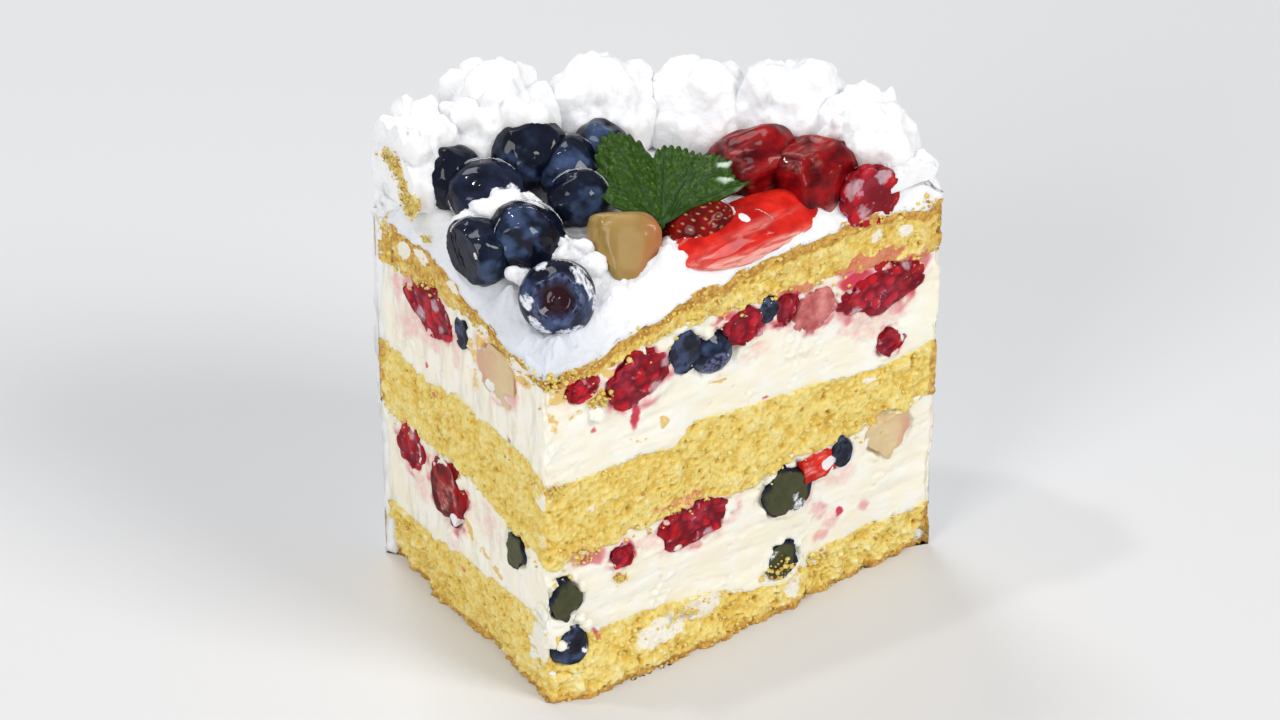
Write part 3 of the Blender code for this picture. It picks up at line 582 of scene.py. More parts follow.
def perimeter(step):
    """Once round the plan, anticlockwise: places, outward normals and whether each is on a cut."""
    turn = math.acos(-ROUND_CENTRE_X / LAYER_RADIUS)
    long_end = ROUND_CENTRE_X + LAYER_RADIUS + LONG_END_OUT
    short_end = LAYER_RADIUS * math.sin(turn)
    x = np.arange(CORNER_ROUND, long_end - step / 2, step)
    y = np.arange(short_end, CORNER_ROUND + step / 2, -step)
    angle = turn * np.linspace(0, 1, ARC_COLUMNS) ** 1.7
    fillet = np.linspace(0, math.pi / 2, 8)[:-1]
    reach = LAYER_RADIUS + LONG_END_OUT * (1 - smooth(angle * LAYER_RADIUS, 0, LONG_END_SPAN))
    reach = reach - TUCK * smooth(np.minimum(angle, turn - angle) * LAYER_RADIUS, *TUCK_SPAN)
    arc = np.stack([ROUND_CENTRE_X + reach * np.cos(angle), reach * np.sin(angle)], -1)
    corner = CORNER_ROUND - CORNER_ROUND * np.stack([np.cos(fillet), np.sin(fillet)], -1)
    places = [np.stack([x, 0 * x], -1), arc, np.stack([0 * y, y], -1), corner]
    normals = [
        np.tile((0.0, -1.0), (len(x), 1)),
        np.stack([np.cos(angle), np.sin(angle)], -1),
        np.tile((-1.0, 0.0), (len(y), 1)),
        -np.stack([np.cos(fillet), np.sin(fillet)], -1),
    ]
    cut = [np.ones(len(x)), np.zeros(ARC_COLUMNS), np.ones(len(y)), np.ones(len(fillet))]
    return np.concatenate(places), np.concatenate(normals), np.concatenate(cut)


PLACES, NORMALS, ON_CUT = perimeter(FACE_STEP)


def foot_shift(x, y, z):
    """How far the foot of the cake stands out on each cut."""
    low = 1 - smooth(z, 0.0, FOOT_HEIGHT)
    return low * profile(LONG_FOOT, x), low * profile(SHORT_FOOT, y)


FOOT_CRUMB = 0.7  # how much rougher the crumb is at the foot of the cake


def sponge_relief(points):
    """Crumb: how far each point stands out, and how deep in a pore it is, which the sponge's colour
    turns into painted shade and highlights.
    """
    bent = points + 0.6 * np.stack([wave(points, 1.3, 35 + k) for k in range(3)], -1)
    first, _, draw = cells(bent, 1.3, 21)
    small = smooth(0.40 - first, 0.0, 0.22) * smooth(draw, 0.62, 0.82)
    first, _, draw = cells(bent, 3.2, 31)
    large = smooth(0.27 - first, 0.0, 0.16) * smooth(draw, 0.62, 0.8)
    lumps = 0.5 - cells(bent, 1.0, 25)[0]
    fine = 0.42 * lumps + 0.14 * wave(points, 0.55, 47)
    crumb = 0.36 * fractal(points, 2.6, 41, 4) + fine
    hollow = 0.42 - 0.45 * (crumb - fine) - 1.1 * fine + 0.42 * small + 0.55 * large
    relief = crumb - 0.45 * small - 0.80 * large
    relief *= 1 + FOOT_CRUMB * (1 - smooth(points[..., 2], 2, FOOT_HEIGHT))
    return relief, np.clip(hollow, 0, 1)


def cream_relief(points, normal_x):
    """Knife marks: nearly level on the long cut, upright on the short one, with a few torn spots, and
    streaks of painted shade on the short cut.
    """
    level = points * (0.22, 1.0, 1.0)
    upright = points * (1.0, 1.0, 0.16)
    marks = np.where(normal_x < -0.7, 0.20 * fractal(upright, 1.5, 51), 0.15 * fractal(level, 1.6, 52))
    torn = smooth(fractal(points, 5.0, 53), 0.35, 0.8)
    rough = 0.30 * fractal(points, 0.9, 54, 3)
    first, _, draw = cells(points, 2.2, 55)
    bubble = smooth(0.22 - first, 0, 0.12) * smooth(draw, 0.7, 0.8)
    # Streaks of painted shade, only on the short cut.
    streak_shade = smooth(fractal(upright, 1.1, 56), 0.1, 0.9) * (normal_x < -0.7)
    return marks + torn * rough - 0.4 * bubble, streak_shade


def blob(s, z, spots):
    """The strongest of several soft elliptical spots: (distance, height, half sizes, strength)."""
    best = np.zeros(np.shape(s))
    for at_s, at_z, wide, high, strength in spots:
        away = np.hypot((s - at_s) / wide, (z - at_z) / high)
        best = np.maximum(best, strength * (1 - smooth(away, 0.45, 1.35)))
    return best


# Spots on the long cut face, as (distance, height, half width, half height, strength).
LONG_JUICE = (
    (19.0, 56.6, 1.1, 4.2, 0.95), (48.0, 48.8, 0.8, 0.6, 0.9), (11.0, 56.3, 0.9, 0.7, 0.8),
    (6.0, 63.4, 3.4, 2.8, 0.35), (58.0, 23.0, 3.0, 3.2, 0.52), (61.0, 18.6, 2.6, 3.4, 0.58),
    (64.0, 14.8, 2.6, 3.0, 0.52), (65.5, 16.3, 1.3, 1.1, 0.95), (71.9, 15.5, 1.9, 1.5, 0.6),
    (73.0, 57.0, 11.0, 5.0, 0.46), (62.0, 12.0, 2.0, 2.0, 0.6), (5.6, 67.6, 2.6, 1.6, 0.8),
    (9.5, 28.7, 4.6, 1.9, 0.75), (11.1, 11.6, 1.7, 1.2, 0.8), (46.0, 60.0, 5.0, 2.4, 0.4),
    (24.0, 27.0, 7.0, 2.4, 0.5), (66.0, 24.4, 4.4, 3.0, 0.46), (26.0, 59.5, 2.0, 3.0, 0.3),
    (80.0, 74.0, 3.0, 2.2, 0.3), (84.0, 66.0, 2.0, 3.4, 0.75), (68.0, 68.0, 5.0, 2.0, 0.95),
    (79.0, 66.6, 6.0, 2.8, 0.95), (55.0, 69.6, 6.0, 1.5, 0.9), (40.0, 70.0, 4.0, 1.3, 0.8),
    (47.0, 67.0, 4.0, 2.4, 0.6), (64.0, 62.0, 4.0, 2.0, 0.4), (33.0, 30.4, 9.0, 1.6, 0.8),
    (24.0, 65.6, 5.0, 3.6, 0.7), (14.0, 66.0, 3.0, 2.6, 0.5), (72.0, 70.6, 11.0, 2.0, 0.85),
    (8.0, 31.0, 6.0, 3.0, 0.6), (30.0, 33.0, 10.0, 1.4, 0.7), (50.0, 71.0, 6.0, 1.4, 0.6),
)
LONG_CRUMBS = (
    (11.9, 62.9, 3.4, 2.0, 0.75), (37.9, 56.1, 2.0, 0.5, 0.8), (16.0, 21.4, 2.2, 1.2, 0.7),
    (16.5, 59.0, 1.0, 1.2, 0.5), (55.0, 10.0, 3.0, 2.0, 0.45), (7.0, 25.0, 2.0, 1.4, 0.4),
    (3.4, 66.0, 2.6, 2.2, 0.75), (2.4, 61.0, 1.6, 2.6, 0.6), (7.4, 60.6, 2.4, 1.2, 0.55),
    (14.0, 68.0, 2.0, 1.8, 0.7), (26.6, 52.6, 1.6, 1.2, 0.6), (21.0, 50.6, 3.0, 0.8, 0.55),
)
LONG_SMEARS = (
    (24.0, 7.4, 7.0, 3.0, 0.66), (33.5, 8.4, 6.0, 2.2, 0.62), (54.0, 4.8, 3.4, 2.6, 0.55),
    (42.0, 10.0, 5.0, 1.8, 0.62), (60.0, 8.6, 4.0, 1.6, 0.6), (1.0, 13.5, 1.2, 4.0, 0.8),
    (72.0, 44.6, 2.0, 1.0, 0.6), (79.0, 74.0, 1.6, 1.2, 0.7), (72.5, 75.6, 1.2, 1.8, 0.6),
    (10.0, 40.0, 1.2, 0.8, 0.5),
)
LONG_BLUE = ((31.7, 2.2, 2.4, 1.6, 0.5), (34.0, 60.0, 3.0, 2.0, 0.25), (49.0, 19.4, 3.0, 2.2, 0.25))
SHORT_JUICE = (
    (39.0, 61.0, 6.0, 5.5, 0.55), (39.9, 52.6, 1.0, 1.0, 0.9), (37.0, 46.9, 0.9, 0.8, 0.9),
    (29.2, 12.9, 0.8, 0.8, 0.9), (20.0, 28.6, 5.4, 6.5, 0.40), (17.0, 60.0, 5.0, 6.0, 0.34),
    (44.0, 24.0, 5.0, 5.0, 0.45), (33.0, 19.0, 4.0, 5.0, 0.40), (47.0, 71.0, 2.0, 1.0, 0.4),
    (46.0, 58.0, 5.0, 5.0, 0.5), (30.0, 62.0, 3.0, 6.0, 0.5), (12.0, 62.0, 3.0, 6.0, 0.5),
    (50.0, 64.0, 3.0, 5.0, 0.55), (8.0, 66.6, 2.4, 1.6, 0.6), (22.0, 68.0, 3.0, 1.6, 0.55),
)
SHORT_CRUMBS = (
    (26.4, 22.7, 1.3, 2.0, 0.85), (17.3, 18.6, 2.6, 1.6, 0.7), (22.0, 20.4, 2.6, 1.4, 0.6),
    (24.1, 64.6, 2.2, 3.0, 0.6), (12.0, 17.0, 2.4, 1.0, 0.5), (21.5, 67.6, 2.6, 1.8, 0.75),
    (8.0, 67.0, 4.0, 1.4, 0.7), (23.0, 58.0, 1.4, 3.4, 0.55), (15.0, 69.6, 5.0, 1.2, 0.75),
)
SHORT_SMEARS = (
    (2.2, 13.0, 2.4, 6.0, 0.9), (1.5, 45.0, 1.6, 2.4, 0.6), (52.0, 76.0, 2.0, 1.6, 0.5),
    (1.4, 36.0, 1.2, 3.0, 0.45), (46.0, 74.0, 2.4, 2.4, 0.85), (40.0, 77.0, 3.0, 1.2, 0.8),
    (29.0, 75.0, 2.4, 1.4, 0.75), (20.0, 71.6, 3.0, 1.2, 0.8), (8.0, 70.4, 4.0, 0.9, 0.7),
)
SHORT_BLUE = ((12.6, 51.4, 0.7, 0.6, 0.9), (26.9, 9.0, 0.7, 0.7, 0.9), (27.0, 60.0, 2.0, 3.0, 0.25))
RED_KINDS = ("raspberry", "red_chunk", "strawberry")
BLUE_KINDS = ("blueberry", "cut_blueberry")


def fruit_halo(s, z, fruit, kinds):
    """How near each point is to fruit of these kinds that shows on its face: 1 in it, fading out."""
    best = np.zeros(np.shape(s))
    for _, kind, at_s, at_z, wide, high, _, _ in fruit:
        if kind in kinds:
            away = np.hypot((s - at_s) / (wide + 0.5), (z - at_z) / (high + 0.5)) - 1
            best = np.maximum(best, np.exp(-np.maximum(away, 0) / 0.28))
            below = np.maximum(at_z - high - z, 0)
            drip = np.exp(-below / 2.2) * (z < at_z) * (np.abs(s - at_s) < wide * 0.8)
            best = np.maximum(best, 0.6 * drip)
    return best


def face_masks(points, normals):
    """Juice, crumbs, smears and blue juice for points on the cuts."""
    x, y, z = points[..., 0], points[..., 1], points[..., 2]
    bent = points + np.stack([0.9 * fractal(points, 3.0, 65 + 5 * k, 3) for k in range(3)], -1)
    long_share = smooth(-normals[..., 1], 0.5, 0.8)
    short_share = smooth(-normals[..., 0], 0.5, 0.8)
    both = []
    for long_spots, short_spots in (
        (LONG_JUICE, SHORT_JUICE), (LONG_CRUMBS, SHORT_CRUMBS),
        (LONG_SMEARS, SHORT_SMEARS), (LONG_BLUE, SHORT_BLUE),
    ):
        on_long = blob(bent[..., 0], bent[..., 2], long_spots)
        on_short = blob(bent[..., 1], bent[..., 2], short_spots)
        both.append(long_share * on_long + short_share * on_short)
    juice, crumbs, smears, blue = both
    red = long_share * fruit_halo(bent[..., 0], bent[..., 2], LONG_FACE_FRUIT, RED_KINDS)
    red += short_share * fruit_halo(bent[..., 1], bent[..., 2], SHORT_FACE_FRUIT, RED_KINDS)
    dark = long_share * fruit_halo(x, z, LONG_FACE_FRUIT, BLUE_KINDS)
    dark += short_share * fruit_halo(y, z, SHORT_FACE_FRUIT, BLUE_KINDS)
    juice = np.maximum(juice, 0.85 * red * (0.55 + 0.45 * wave(points, 2.4, 61)))
    blue = np.maximum(blue, 0.5 * dark * (0.5 + 0.5 * wave(points, 2.0, 62)))
    away = np.full(np.shape(x), 9.0)
    for share, s, fruit in ((long_share, x, LONG_FACE_FRUIT), (short_share, y, SHORT_FACE_FRUIT)):
        for _, _, at_s, at_z, wide, high, _, _ in fruit:
            gap = np.hypot((s - at_s) / wide, (z - at_z) / high) + 9 * (1 - share)
            away = np.minimum(away, gap)
    seat = 1 - smooth(away + 0.14 * fractal(points, 2.2, 63), 0.88, 1.02)
    lap = smooth(away, 0.62, 0.86) * (1 - smooth(away, 1.0, 1.3))
    lap *= smooth(wave(points, 2.1, 64), 0.0, 0.45)
    return juice, crumbs, smears, blue, seat, lap


def standing(z):
    """Rows of points over the plan's outline, at these heights."""
    return np.concatenate([np.broadcast_to(PLACES, (len(z), *PLACES.shape)), z[..., None]], -1)


def face_swell(points):
    """Long low swells of the cuts, alike on everything that shows there."""
    return 0.30 * fractal(points, 11, 71, 2)


def make_layer(name, under, over, kind, material):
    """One layer: fine walls on the cuts with their relief and masks, and plain caps."""
    x, y = PLACES.T
    base, top = level_height(under, x, y), level_height(over, x, y)
    if under != "floor":
        base = base - LAYER_OVERLAP
    top = top + LAYER_OVERLAP
    rows = int((top - base).max() / (FACE_STEP if kind == "sponge" else CREAM_STEP))
    share = np.linspace(0, 1, rows + 1)[:, None]
    z = base + (top - base) * share
    points = standing(z)
    normals = np.broadcast_to(NORMALS, (rows + 1, *NORMALS.shape))
    juice, crumbs, smears, blue, seat, lap = face_masks(points, normals)
    swell = face_swell(points)
    if kind == "sponge":
        relief, extra = sponge_relief(points)
        relief = relief * (1 - 0.6 * smears) + 0.45 * smears + 0.1
    else:
        relief, extra = cream_relief(points, normals[..., 0])
        relief = relief - 0.15 + 0.25 * crumbs * wave(points, 0.9, 72)
    shift = ON_CUT * (swell + relief - FACE_INSET - 1.0 * seat * (1 - lap) + 0.5 * lap)
    if kind != "sponge":
        corner = np.exp(-np.maximum(points[..., 0], points[..., 1]) / CORNER_FADE)
        shift = shift + corner * (0.55 * fractal(points, 2.2, 75, 3) - 0.1)
    end = smooth(points[..., 0], LONG_END_FROM, LONG_END_FROM + 1.5) * (1 - ON_CUT)
    shift = shift + end * (0.8 * fractal(points, 3.0, 73, 3) - 0.5)
    long_foot, short_foot = foot_shift(points[..., 0], points[..., 1], z)
    shift = shift + ON_CUT * (
        long_foot * smooth(-normals[..., 1], 0, 1) + short_foot * smooth(-normals[..., 0], 0, 1)
    )
    moved = points.copy()
    moved[..., :2] += normals * shift[..., None]
    if kind == "sponge":
        crust = crust_mask(name, points, z, top)
        masks = np.stack([juice * 0.8, crust, smears, extra], -1)
    else:
        masks = np.stack([juice, crumbs, blue, extra], -1)
    return close_layer(name, moved, masks, kind, material)


def crust_mask(name, points, z, top):
    """Browned crumb: at the foot, on top of the top sponge and by the outer side."""
    x, y = points[..., 0], points[..., 1]
    ragged = 0.5 * wave(points, 2.2, 81)
    outer = LAYER_RADIUS - np.hypot(x - ROUND_CENTRE_X, y)
    mask = 0.7 * (1 - smooth(outer + 1.6 * ragged, 0.6, 2.4))
    if name == "sponge_bottom":
        mask = np.maximum(mask, 0.8 * (1 - smooth(z + ragged, 0.8, 2.8)))
    if name == "sponge_top":
        mask = np.maximum(mask, 0.95 * (1 - smooth(top - z + ragged, 2.4, 3.8)))
        mask = np.maximum(mask, 0.55 * smooth(x, 76, 84) * (y < 1))
        mask = np.maximum(mask, (0.46 + 0.3 * ragged) + 0.16 * smooth(y - x, 3, 12))
    return np.clip(mask, 0, 1)


PLAN_MIDDLE = np.array((30.0, 20.0))
CAP_RINGS = (0.97, 0.6)  # how far out the rings of a layer's caps lie


def close_layer(name, wall, masks, kind, material):
    """Closes a layer's wall with a base and a top that draw in to the middle."""
    rows, columns = wall.shape[:2]
    points, values = [wall.reshape(-1, 3)], [masks.reshape(-1, 4)]
    faces = [ring_faces(rows, columns)]
    count = rows * columns
    for row, upward in ((rows - 1, True), (0, False)):
        ring = row * columns + np.arange(columns)
        rim = wall[row]
        for share in CAP_RINGS:
            inner = rim.copy()
            inner[:, :2] = PLAN_MIDDLE + (rim[:, :2] - PLAN_MIDDLE) * share
            points.append(inner)
            values.append(np.zeros((columns, 4)))
            after = count + np.arange(columns)
            pair = (ring, np.roll(ring, -1), np.roll(after, -1), after)
            faces.append(np.stack(pair if upward else pair[::-1], -1))
            ring, count = after, count + columns
        points.append(np.array([(*PLAN_MIDDLE, rim[:, 2].mean())]))
        values.append(np.zeros((1, 4)))
        faces.append(fan_faces(ring, count, upward))
        count += 1
    return make_piece(
        f"{name}_crumb" if kind == "sponge" else f"{name}_cut",
        np.concatenate(points), faces, material, (name,), np.concatenate(values),
    )


# ---- whipped cream ----

TOP_RINGS = 68
TOP_ROWS = 7
TOP_CORE = 76.0  # height of the middle of its hidden underside
# Juice and crumbs in the top cream, as (x, y, half sizes, strength).
TOP_JUICE = (
    (70.0, 1.0, 3.6, 2.6, 0.8), (74.5, 6.0, 3.0, 3.0, 0.3), (8.0, 15.0, 2.4, 2.0, 0.3),
    (44.0, 2.0, 3.0, 1.4, 0.25), (64.0, 20.0, 9.0, 6.0, 0.28), (2.0, 18.0, 1.6, 3.0, 0.3),
)
TOP_CRUMBS = ((0.5, 54.0, 2.4, 2.6, 0.9), (17.0, 1.0, 2.0, 0.8, 0.4), (0.8, 14.0, 1.2, 3.0, 0.4))
# Heaps of loose cream between the fruit, as (x, y, radius, height).
TOP_HEAPS = (
    (16.4, 15.4, 7.4, 5.6), (19.5, 4.6, 3.6, 1.4), (14.0, 4.4, 4.4, 1.6), (5.0, 3.6, 4.0, 1.2),
    (3.6, 17.0, 3.2, 1.8), (31.0, 4.6, 4.2, 2.6), (36.0, 6.4, 2.6, 1.6), (11.4, 29.4, 5.4, 4.6),
    (28.5, 5.4, 4.4, 2.4), (33.4, 9.0, 3.0, 2.0), (54.0, 1.6, 3.4, 0.6), (6.0, 2.6, 2.6, 1.0),
    (16.6, 33.0, 4.0, 3.0), (4.4, 34.6, 3.4, 1.6), (78.0, 3.4, 4.6, 1.6), (84.0, 2.6, 3.6, 1.6),
)


def top_relief(x, y):
    """Heaps and torn cream on top, in millimetres over sheet_top."""
    flat = np.stack([x, y, np.full(np.shape(x), 3.0)], -1)
    heap = np.zeros(np.shape(x))
    for at_x, at_y, radius, height in TOP_HEAPS:
        heap += height * np.exp(-((x - at_x) ** 2 + (y - at_y) ** 2) / (0.5 * radius**2))
    loose = np.exp(-((x - 12) ** 2 + (y - 6) ** 2) / 200) + 0.4 * np.minimum(heap, 2)
    torn = np.abs(fractal(flat, 2.6, 93, 3))
    rough = 0.4 * fractal(flat, 5.0, 91, 3) + (0.22 + 0.20 * loose) * fractal(flat, 1.7, 95, 3)
    rough += 0.3 * np.minimum(heap, 1.6) * ridged(flat, 2.4, 99)
    return heap + rough + 0.7 * loose * (0.45 - torn)


def make_top_cream(material):
    """The whipped cream over the top sponge, soft at its edge where the cuts go through it."""
    x, y = PLACES.T
    base = level_height("sponge_top_top", x, y) - LAYER_OVERLAP
    top = sheet_top(x, y) + 0.6 * top_relief(x, y)
    share = np.linspace(0, 1, TOP_ROWS)[:, None]
    z = base + (top - base) * share
    points = standing(z)
    ragged = face_swell(points) + 0.25 * fractal(points, 2.6, 97, 3)
    shift = ON_CUT * (ragged - 0.1 - 0.9 * share**2)
    points[..., :2] += NORMALS * shift[..., None]
    rim = points[-1]
    rings = [points]
    for k in range(1, TOP_RINGS):
        inward = (k / TOP_RINGS) ** 1.25
        plan = rim[:, :2] + (PLAN_MIDDLE - rim[:, :2]) * inward
        x, y = np.maximum(plan, 0).T
        height = sheet_top(x, y) + top_relief(x, y) * min(1, 0.6 + 0.1 * k)
        height -= 0.25 * max(0, 1 - k / 3)
        rings.append(np.concatenate([plan, height[:, None]], -1)[None])
    grid = np.concatenate(rings)
    count = grid.shape[0] * grid.shape[1]
    middle = np.array(((*PLAN_MIDDLE, sheet_top(*PLAN_MIDDLE)), (*PLAN_MIDDLE, TOP_CORE)))
    last = count - grid.shape[1] + np.arange(grid.shape[1])
    faces = [
        ring_faces(*grid.shape[:2]),
        fan_faces(last, count, upward=True),
        fan_faces(np.arange(grid.shape[1]), count + 1, upward=False),
    ]
    x, y = grid[..., 0], grid[..., 1]
    juice = blob(x, y, TOP_JUICE)
    crumbs = blob(x, y, TOP_CRUMBS) * (0.6 + 0.5 * wave(grid, 1.6, 98))
    # Painted shade: the hollows of the relief get a darker tint, and a broad patch at the near corner
    # and along the short cut a greyish-blue one.
    crease_shade = smooth(-top_relief(x, y), -0.2, 0.6)
    shade = 0.75 * np.exp(-((x / 17) ** 2 + (y / 20) ** 2))
    shade += 0.25 * np.exp(-((x / 9) ** 2)) * smooth(y, 8, 20)
    masks = channels(juice, crumbs, crease_shade, np.clip(shade, 0, 1)).reshape(-1, 4)
    masks = np.concatenate([masks, np.zeros((2, 4))])
    points = np.concatenate([grid.reshape(-1, 3), middle])
    make_piece("top_cream", points, faces, material, ("cream_top",), masks)


COAT_FOOT = 0.6
COAT_RIM_DROP = 1.3
COAT_SHOULDER = 1.3  # how far its rounded rim draws in before it ends
COAT_START = 1.4  # how far behind the long cut the coat begins
COAT_DEPTH = 1.0  # of the coat in the scene, where the layers go under it
COAT_CRUMBS = ((0.0, 72.0, 2.0, 3.0, 0.5), (0.5, 6.0, 2.0, 2.4, 0.6))
COAT_COLUMNS = 148
COAT_ROWS = 72
COAT_SHOULDER_ROWS = 8


def make_coat(material):
    """Cream spread round the outside with a knife, rounded over at its top."""
    turn = math.acos(-ROUND_CENTRE_X / (ROUND_RADIUS - 0.4))
    angle = np.linspace(COAT_START / ROUND_RADIUS, turn, COAT_COLUMNS)
    up = np.linspace(0, 1, COAT_ROWS)
    over = np.linspace(0, math.pi / 2, COAT_SHOULDER_ROWS)[1:]
    inset = np.concatenate([0 * up, COAT_SHOULDER * (1 - np.cos(over))])
    x = ROUND_CENTRE_X + ROUND_RADIUS * np.cos(angle)
    rim = sheet_top(np.maximum(x, 0), ROUND_RADIUS * np.sin(angle))
    wall = COAT_FOOT + (rim - COAT_RIM_DROP - COAT_FOOT) * up[:, None]
    z = np.concatenate([wall, rim - COAT_RIM_DROP + COAT_RIM_DROP * np.sin(over)[:, None]])
    angle = np.broadcast_to(angle, z.shape)
    arc = np.stack([angle * ROUND_RADIUS, z, 0 * z], -1)
    knife = 0.35 * fractal(arc * (0.28, 1.0, 1.0), 3.4, 101, 3) + 0.25 * fractal(arc, 9.0, 105, 2)
    knife += 0.10 * fractal(arc * (0.1, 1.0, 1.0), 0.8, 107, 2)
    reach = ROUND_RADIUS - 0.42 - inset[:, None] + np.clip(knife, -0.7, 0.42)
    outer = np.stack([ROUND_CENTRE_X + reach * np.cos(angle), reach * np.sin(angle), z], -1)
    near = 1 - smooth(angle * ROUND_RADIUS, 0.0, 1.5)
    thin = 1 - smooth(angle * ROUND_RADIUS, 0.0, 9.0)
    thin = thin * smooth(fractal(outer, 9.0, 112, 2), -0.6, 0.3)
    outer[..., 0] -= 0.35 * thin
    outer[..., 1] += near * 0.3 * wave(outer, 3.0, 108)
    far = 1 - smooth((turn - angle) * ROUND_RADIUS, 0.0, 1.5)
    outer[..., 0] -= far * (0.1 + 0.25 * wave(outer, 3.0, 109))
    outer[..., 1] += far * np.clip(0.9 * fractal(outer, 7.0, 110, 3), 0, 1.2)
    inner_reach = np.minimum(ROUND_RADIUS - COAT_THICKNESS + 0 * reach, reach - COAT_DEPTH)
    inner = channels(
        ROUND_CENTRE_X + inner_reach * np.cos(angle), inner_reach * np.sin(angle), z - 0.2
    )
    both = np.concatenate([outer, inner[:, ::-1]], axis=1)
    height, width = both.shape[:2]
    points = both.reshape(-1, 3)
    ends = [
        cap_faces(0, width, COAT_COLUMNS, forward=False),
        cap_faces((height - 1) * width, width, COAT_COLUMNS, forward=True),
    ]
    # Painted shade in the hollows of the knife marks.
    crease_shade = smooth(-knife, 0.1, 0.8)
    crumbs = blob(angle * ROUND_RADIUS, z, COAT_CRUMBS)
    masks = channels(0, crumbs, crease_shade, 0)
    masks = np.concatenate([masks, 0 * masks], axis=1).reshape(-1, 4)
    faces = [ring_faces(height, width), *ends]
    make_piece("outer_cream", points, faces, material, ("cream_coat",), masks)


# Directions seen from the camera, and the lobes of each rosette that show there, as (right, up,
# radius) from its foot. The smallest are tips that the nozzle left.
VIEW_RIGHT = np.array((0.826, -0.564, 0.0))
VIEW_UP = np.array((0.315, 0.462, 0.829))
VIEW_BACK = np.cross(VIEW_RIGHT, VIEW_UP)
BORDER_LOBES = (
    (
        (-1.4, 12.4, 2.2), (2.2, 11.7, 2.5), (-3.6, 8.4, 2.0), (4.6, 8.1, 2.8), (-1.0, 14.2, 1.1),
        (3.5, 13.7, 1.1),
    ),
    (
        (-7.4, 11.9, 2.9), (-4.1, 14.5, 2.4), (0.6, 11.6, 4.4), (1.0, 15.9, 1.1), (5.0, 13.8, 2.4),
        (8.3, 11.4, 1.5), (-6.3, 3.9, 4.0), (-0.1, 4.2, 4.8), (9.1, 6.8, 3.7), (12.4, 3.5, 2.9),
    ),
    (
        (-4.0, 10.5, 1.5), (-6.6, 6.8, 3.0), (-8.3, 8.9, 0.8), (1.5, 6.5, 5.2), (0.4, 12.2, 1.1),
        (5.6, 9.4, 3.1), (-4.8, 1.3, 3.7), (1.7, 0.9, 3.3), (6.9, 2.0, 3.0),
    ),
    (
        (-6.2, 6.0, 3.0), (-4.0, 9.1, 1.3), (1.7, 4.9, 5.0), (-0.1, 10.0, 1.5), (5.4, 8.2, 2.8),
        (-7.5, 1.5, 3.3), (-1.4, -0.3, 3.3), (4.5, 0.4, 3.0),
    ),
    (
        (-3.7, 7.5, 3.9), (4.1, 7.8, 4.2), (-0.4, 4.5, 2.4), (0.0, 11.5, 1.1), (3.1, 12.1, 0.9),
        (-10.1, 0.3, 3.3), (-2.8, 0.6, 3.5), (1.9, -0.3, 2.8), (6.5, 2.1, 3.0), (-7.0, 4.0, 3.0),
    ),
    (
        (-1.4, 9.8, 2.2), (1.0, 9.7, 2.6), (4.8, 9.3, 1.5), (5.0, 10.8, 0.8), (4.3, 4.0, 4.0),
        (1.7, 5.5, 2.9), (8.3, 0.9, 2.4), (6.8, 6.4, 1.8),
    ),
    ((2.6, 1.9, 1.8), (1.5, -0.5, 2.2), (3.7, -1.9, 2.0), (0.4, -2.4, 2.4)),
)
DOME = (0.32, (0.84, 0.84, 0.60))  # rise and half sizes of the body under the lobes
LOBE_SHAPE = (1.12, 1.12, 1.42)  # how much wider and taller a lobe is than its radius
SUNK = 0.92  # of a lobe's radius, how deep its middle is in the body
TIP_SIZE = 1.6
TIP_SUNK = 0.3
TIP_STRETCH = 1.6
SKIRT_SPREAD = (1.08, 1.30, 1.0)


def shown_lobes(lobes, radius, height):
    """A rosette's lobes on the side that shows, and the same ones again on its far side."""
    rise, half = DOME
    middle = np.array((0, 0, rise * height))
    half = np.array(half) * (radius, radius, height)
    found = []
    for right, up, size in lobes:
        at = right * VIEW_RIGHT + up * VIEW_UP
        ray, gap = VIEW_BACK / half, (at - middle) / half
        a, b, c = ray @ ray, ray @ gap, gap @ gap - 1
        front = (-b + math.sqrt(max(b * b - a * c, 0))) / a
        sunk = SUNK if size > TIP_SIZE else TIP_SUNK
        place = at + (front - sunk * size) * VIEW_BACK
        shape = (1.0, 1.0, TIP_STRETCH) if size < TIP_SIZE else LOBE_SHAPE
        for side in (1, -1):
            found.append((place * (side, side, 1), tuple(size * np.array(shape)), 0.0))
    return found


def skirt_lobes(radius, height, turn, seed):
    """The body of one rosette, fuller than the part's, and its foot's ridges.

    The ridges are the part's lowest ring with the same draws, spread by SKIRT_SPREAD.
    """
    draw = random.Random(seed)
    rise, (out, round_it, up) = DOME
    lobes = [((0, 0, rise * height), (out * radius, round_it * radius, up * height), 0.0)]
    count, reach, rise, (out, round_it, up), offset = ROSETTE_SKIRT
    for k in range(count):
        angle = math.radians(turn) + 2 * math.pi * (k + offset) / count
        angle += draw.uniform(-0.10, 0.10)
        size = draw.uniform(0.88, 1.12)
        lift = (rise + draw.uniform(-0.03, 0.03)) * height
        away = reach * radius
        middle = (away * math.cos(angle), away * math.sin(angle), lift)
        radii = np.array((out * radius, round_it * radius, up * height)) * size * SKIRT_SPREAD
        lobes.append((middle, tuple(radii), angle))
    return lobes


BRIDGE = (0.70, 0.30, 0.52, 0.56, 0.40)  # reach, rise, and half sizes along, across and up


def bridge(place, beside, radius, height):
    """Cream that spreads from the foot of one rosette to the next."""
    reach, rise, along, across, up = BRIDGE
    away = np.array(beside) - place
    angle = math.atan2(away[1], away[0])
    middle = (reach * radius * math.cos(angle), reach * radius * math.sin(angle), rise * height)
    return middle, (along * radius, across * radius, up * height), angle


BLEND = 1.5  # per millimetre: how sharply lobes of cream meet
SWELL = 0.9  # how far meeting lobes may swell together


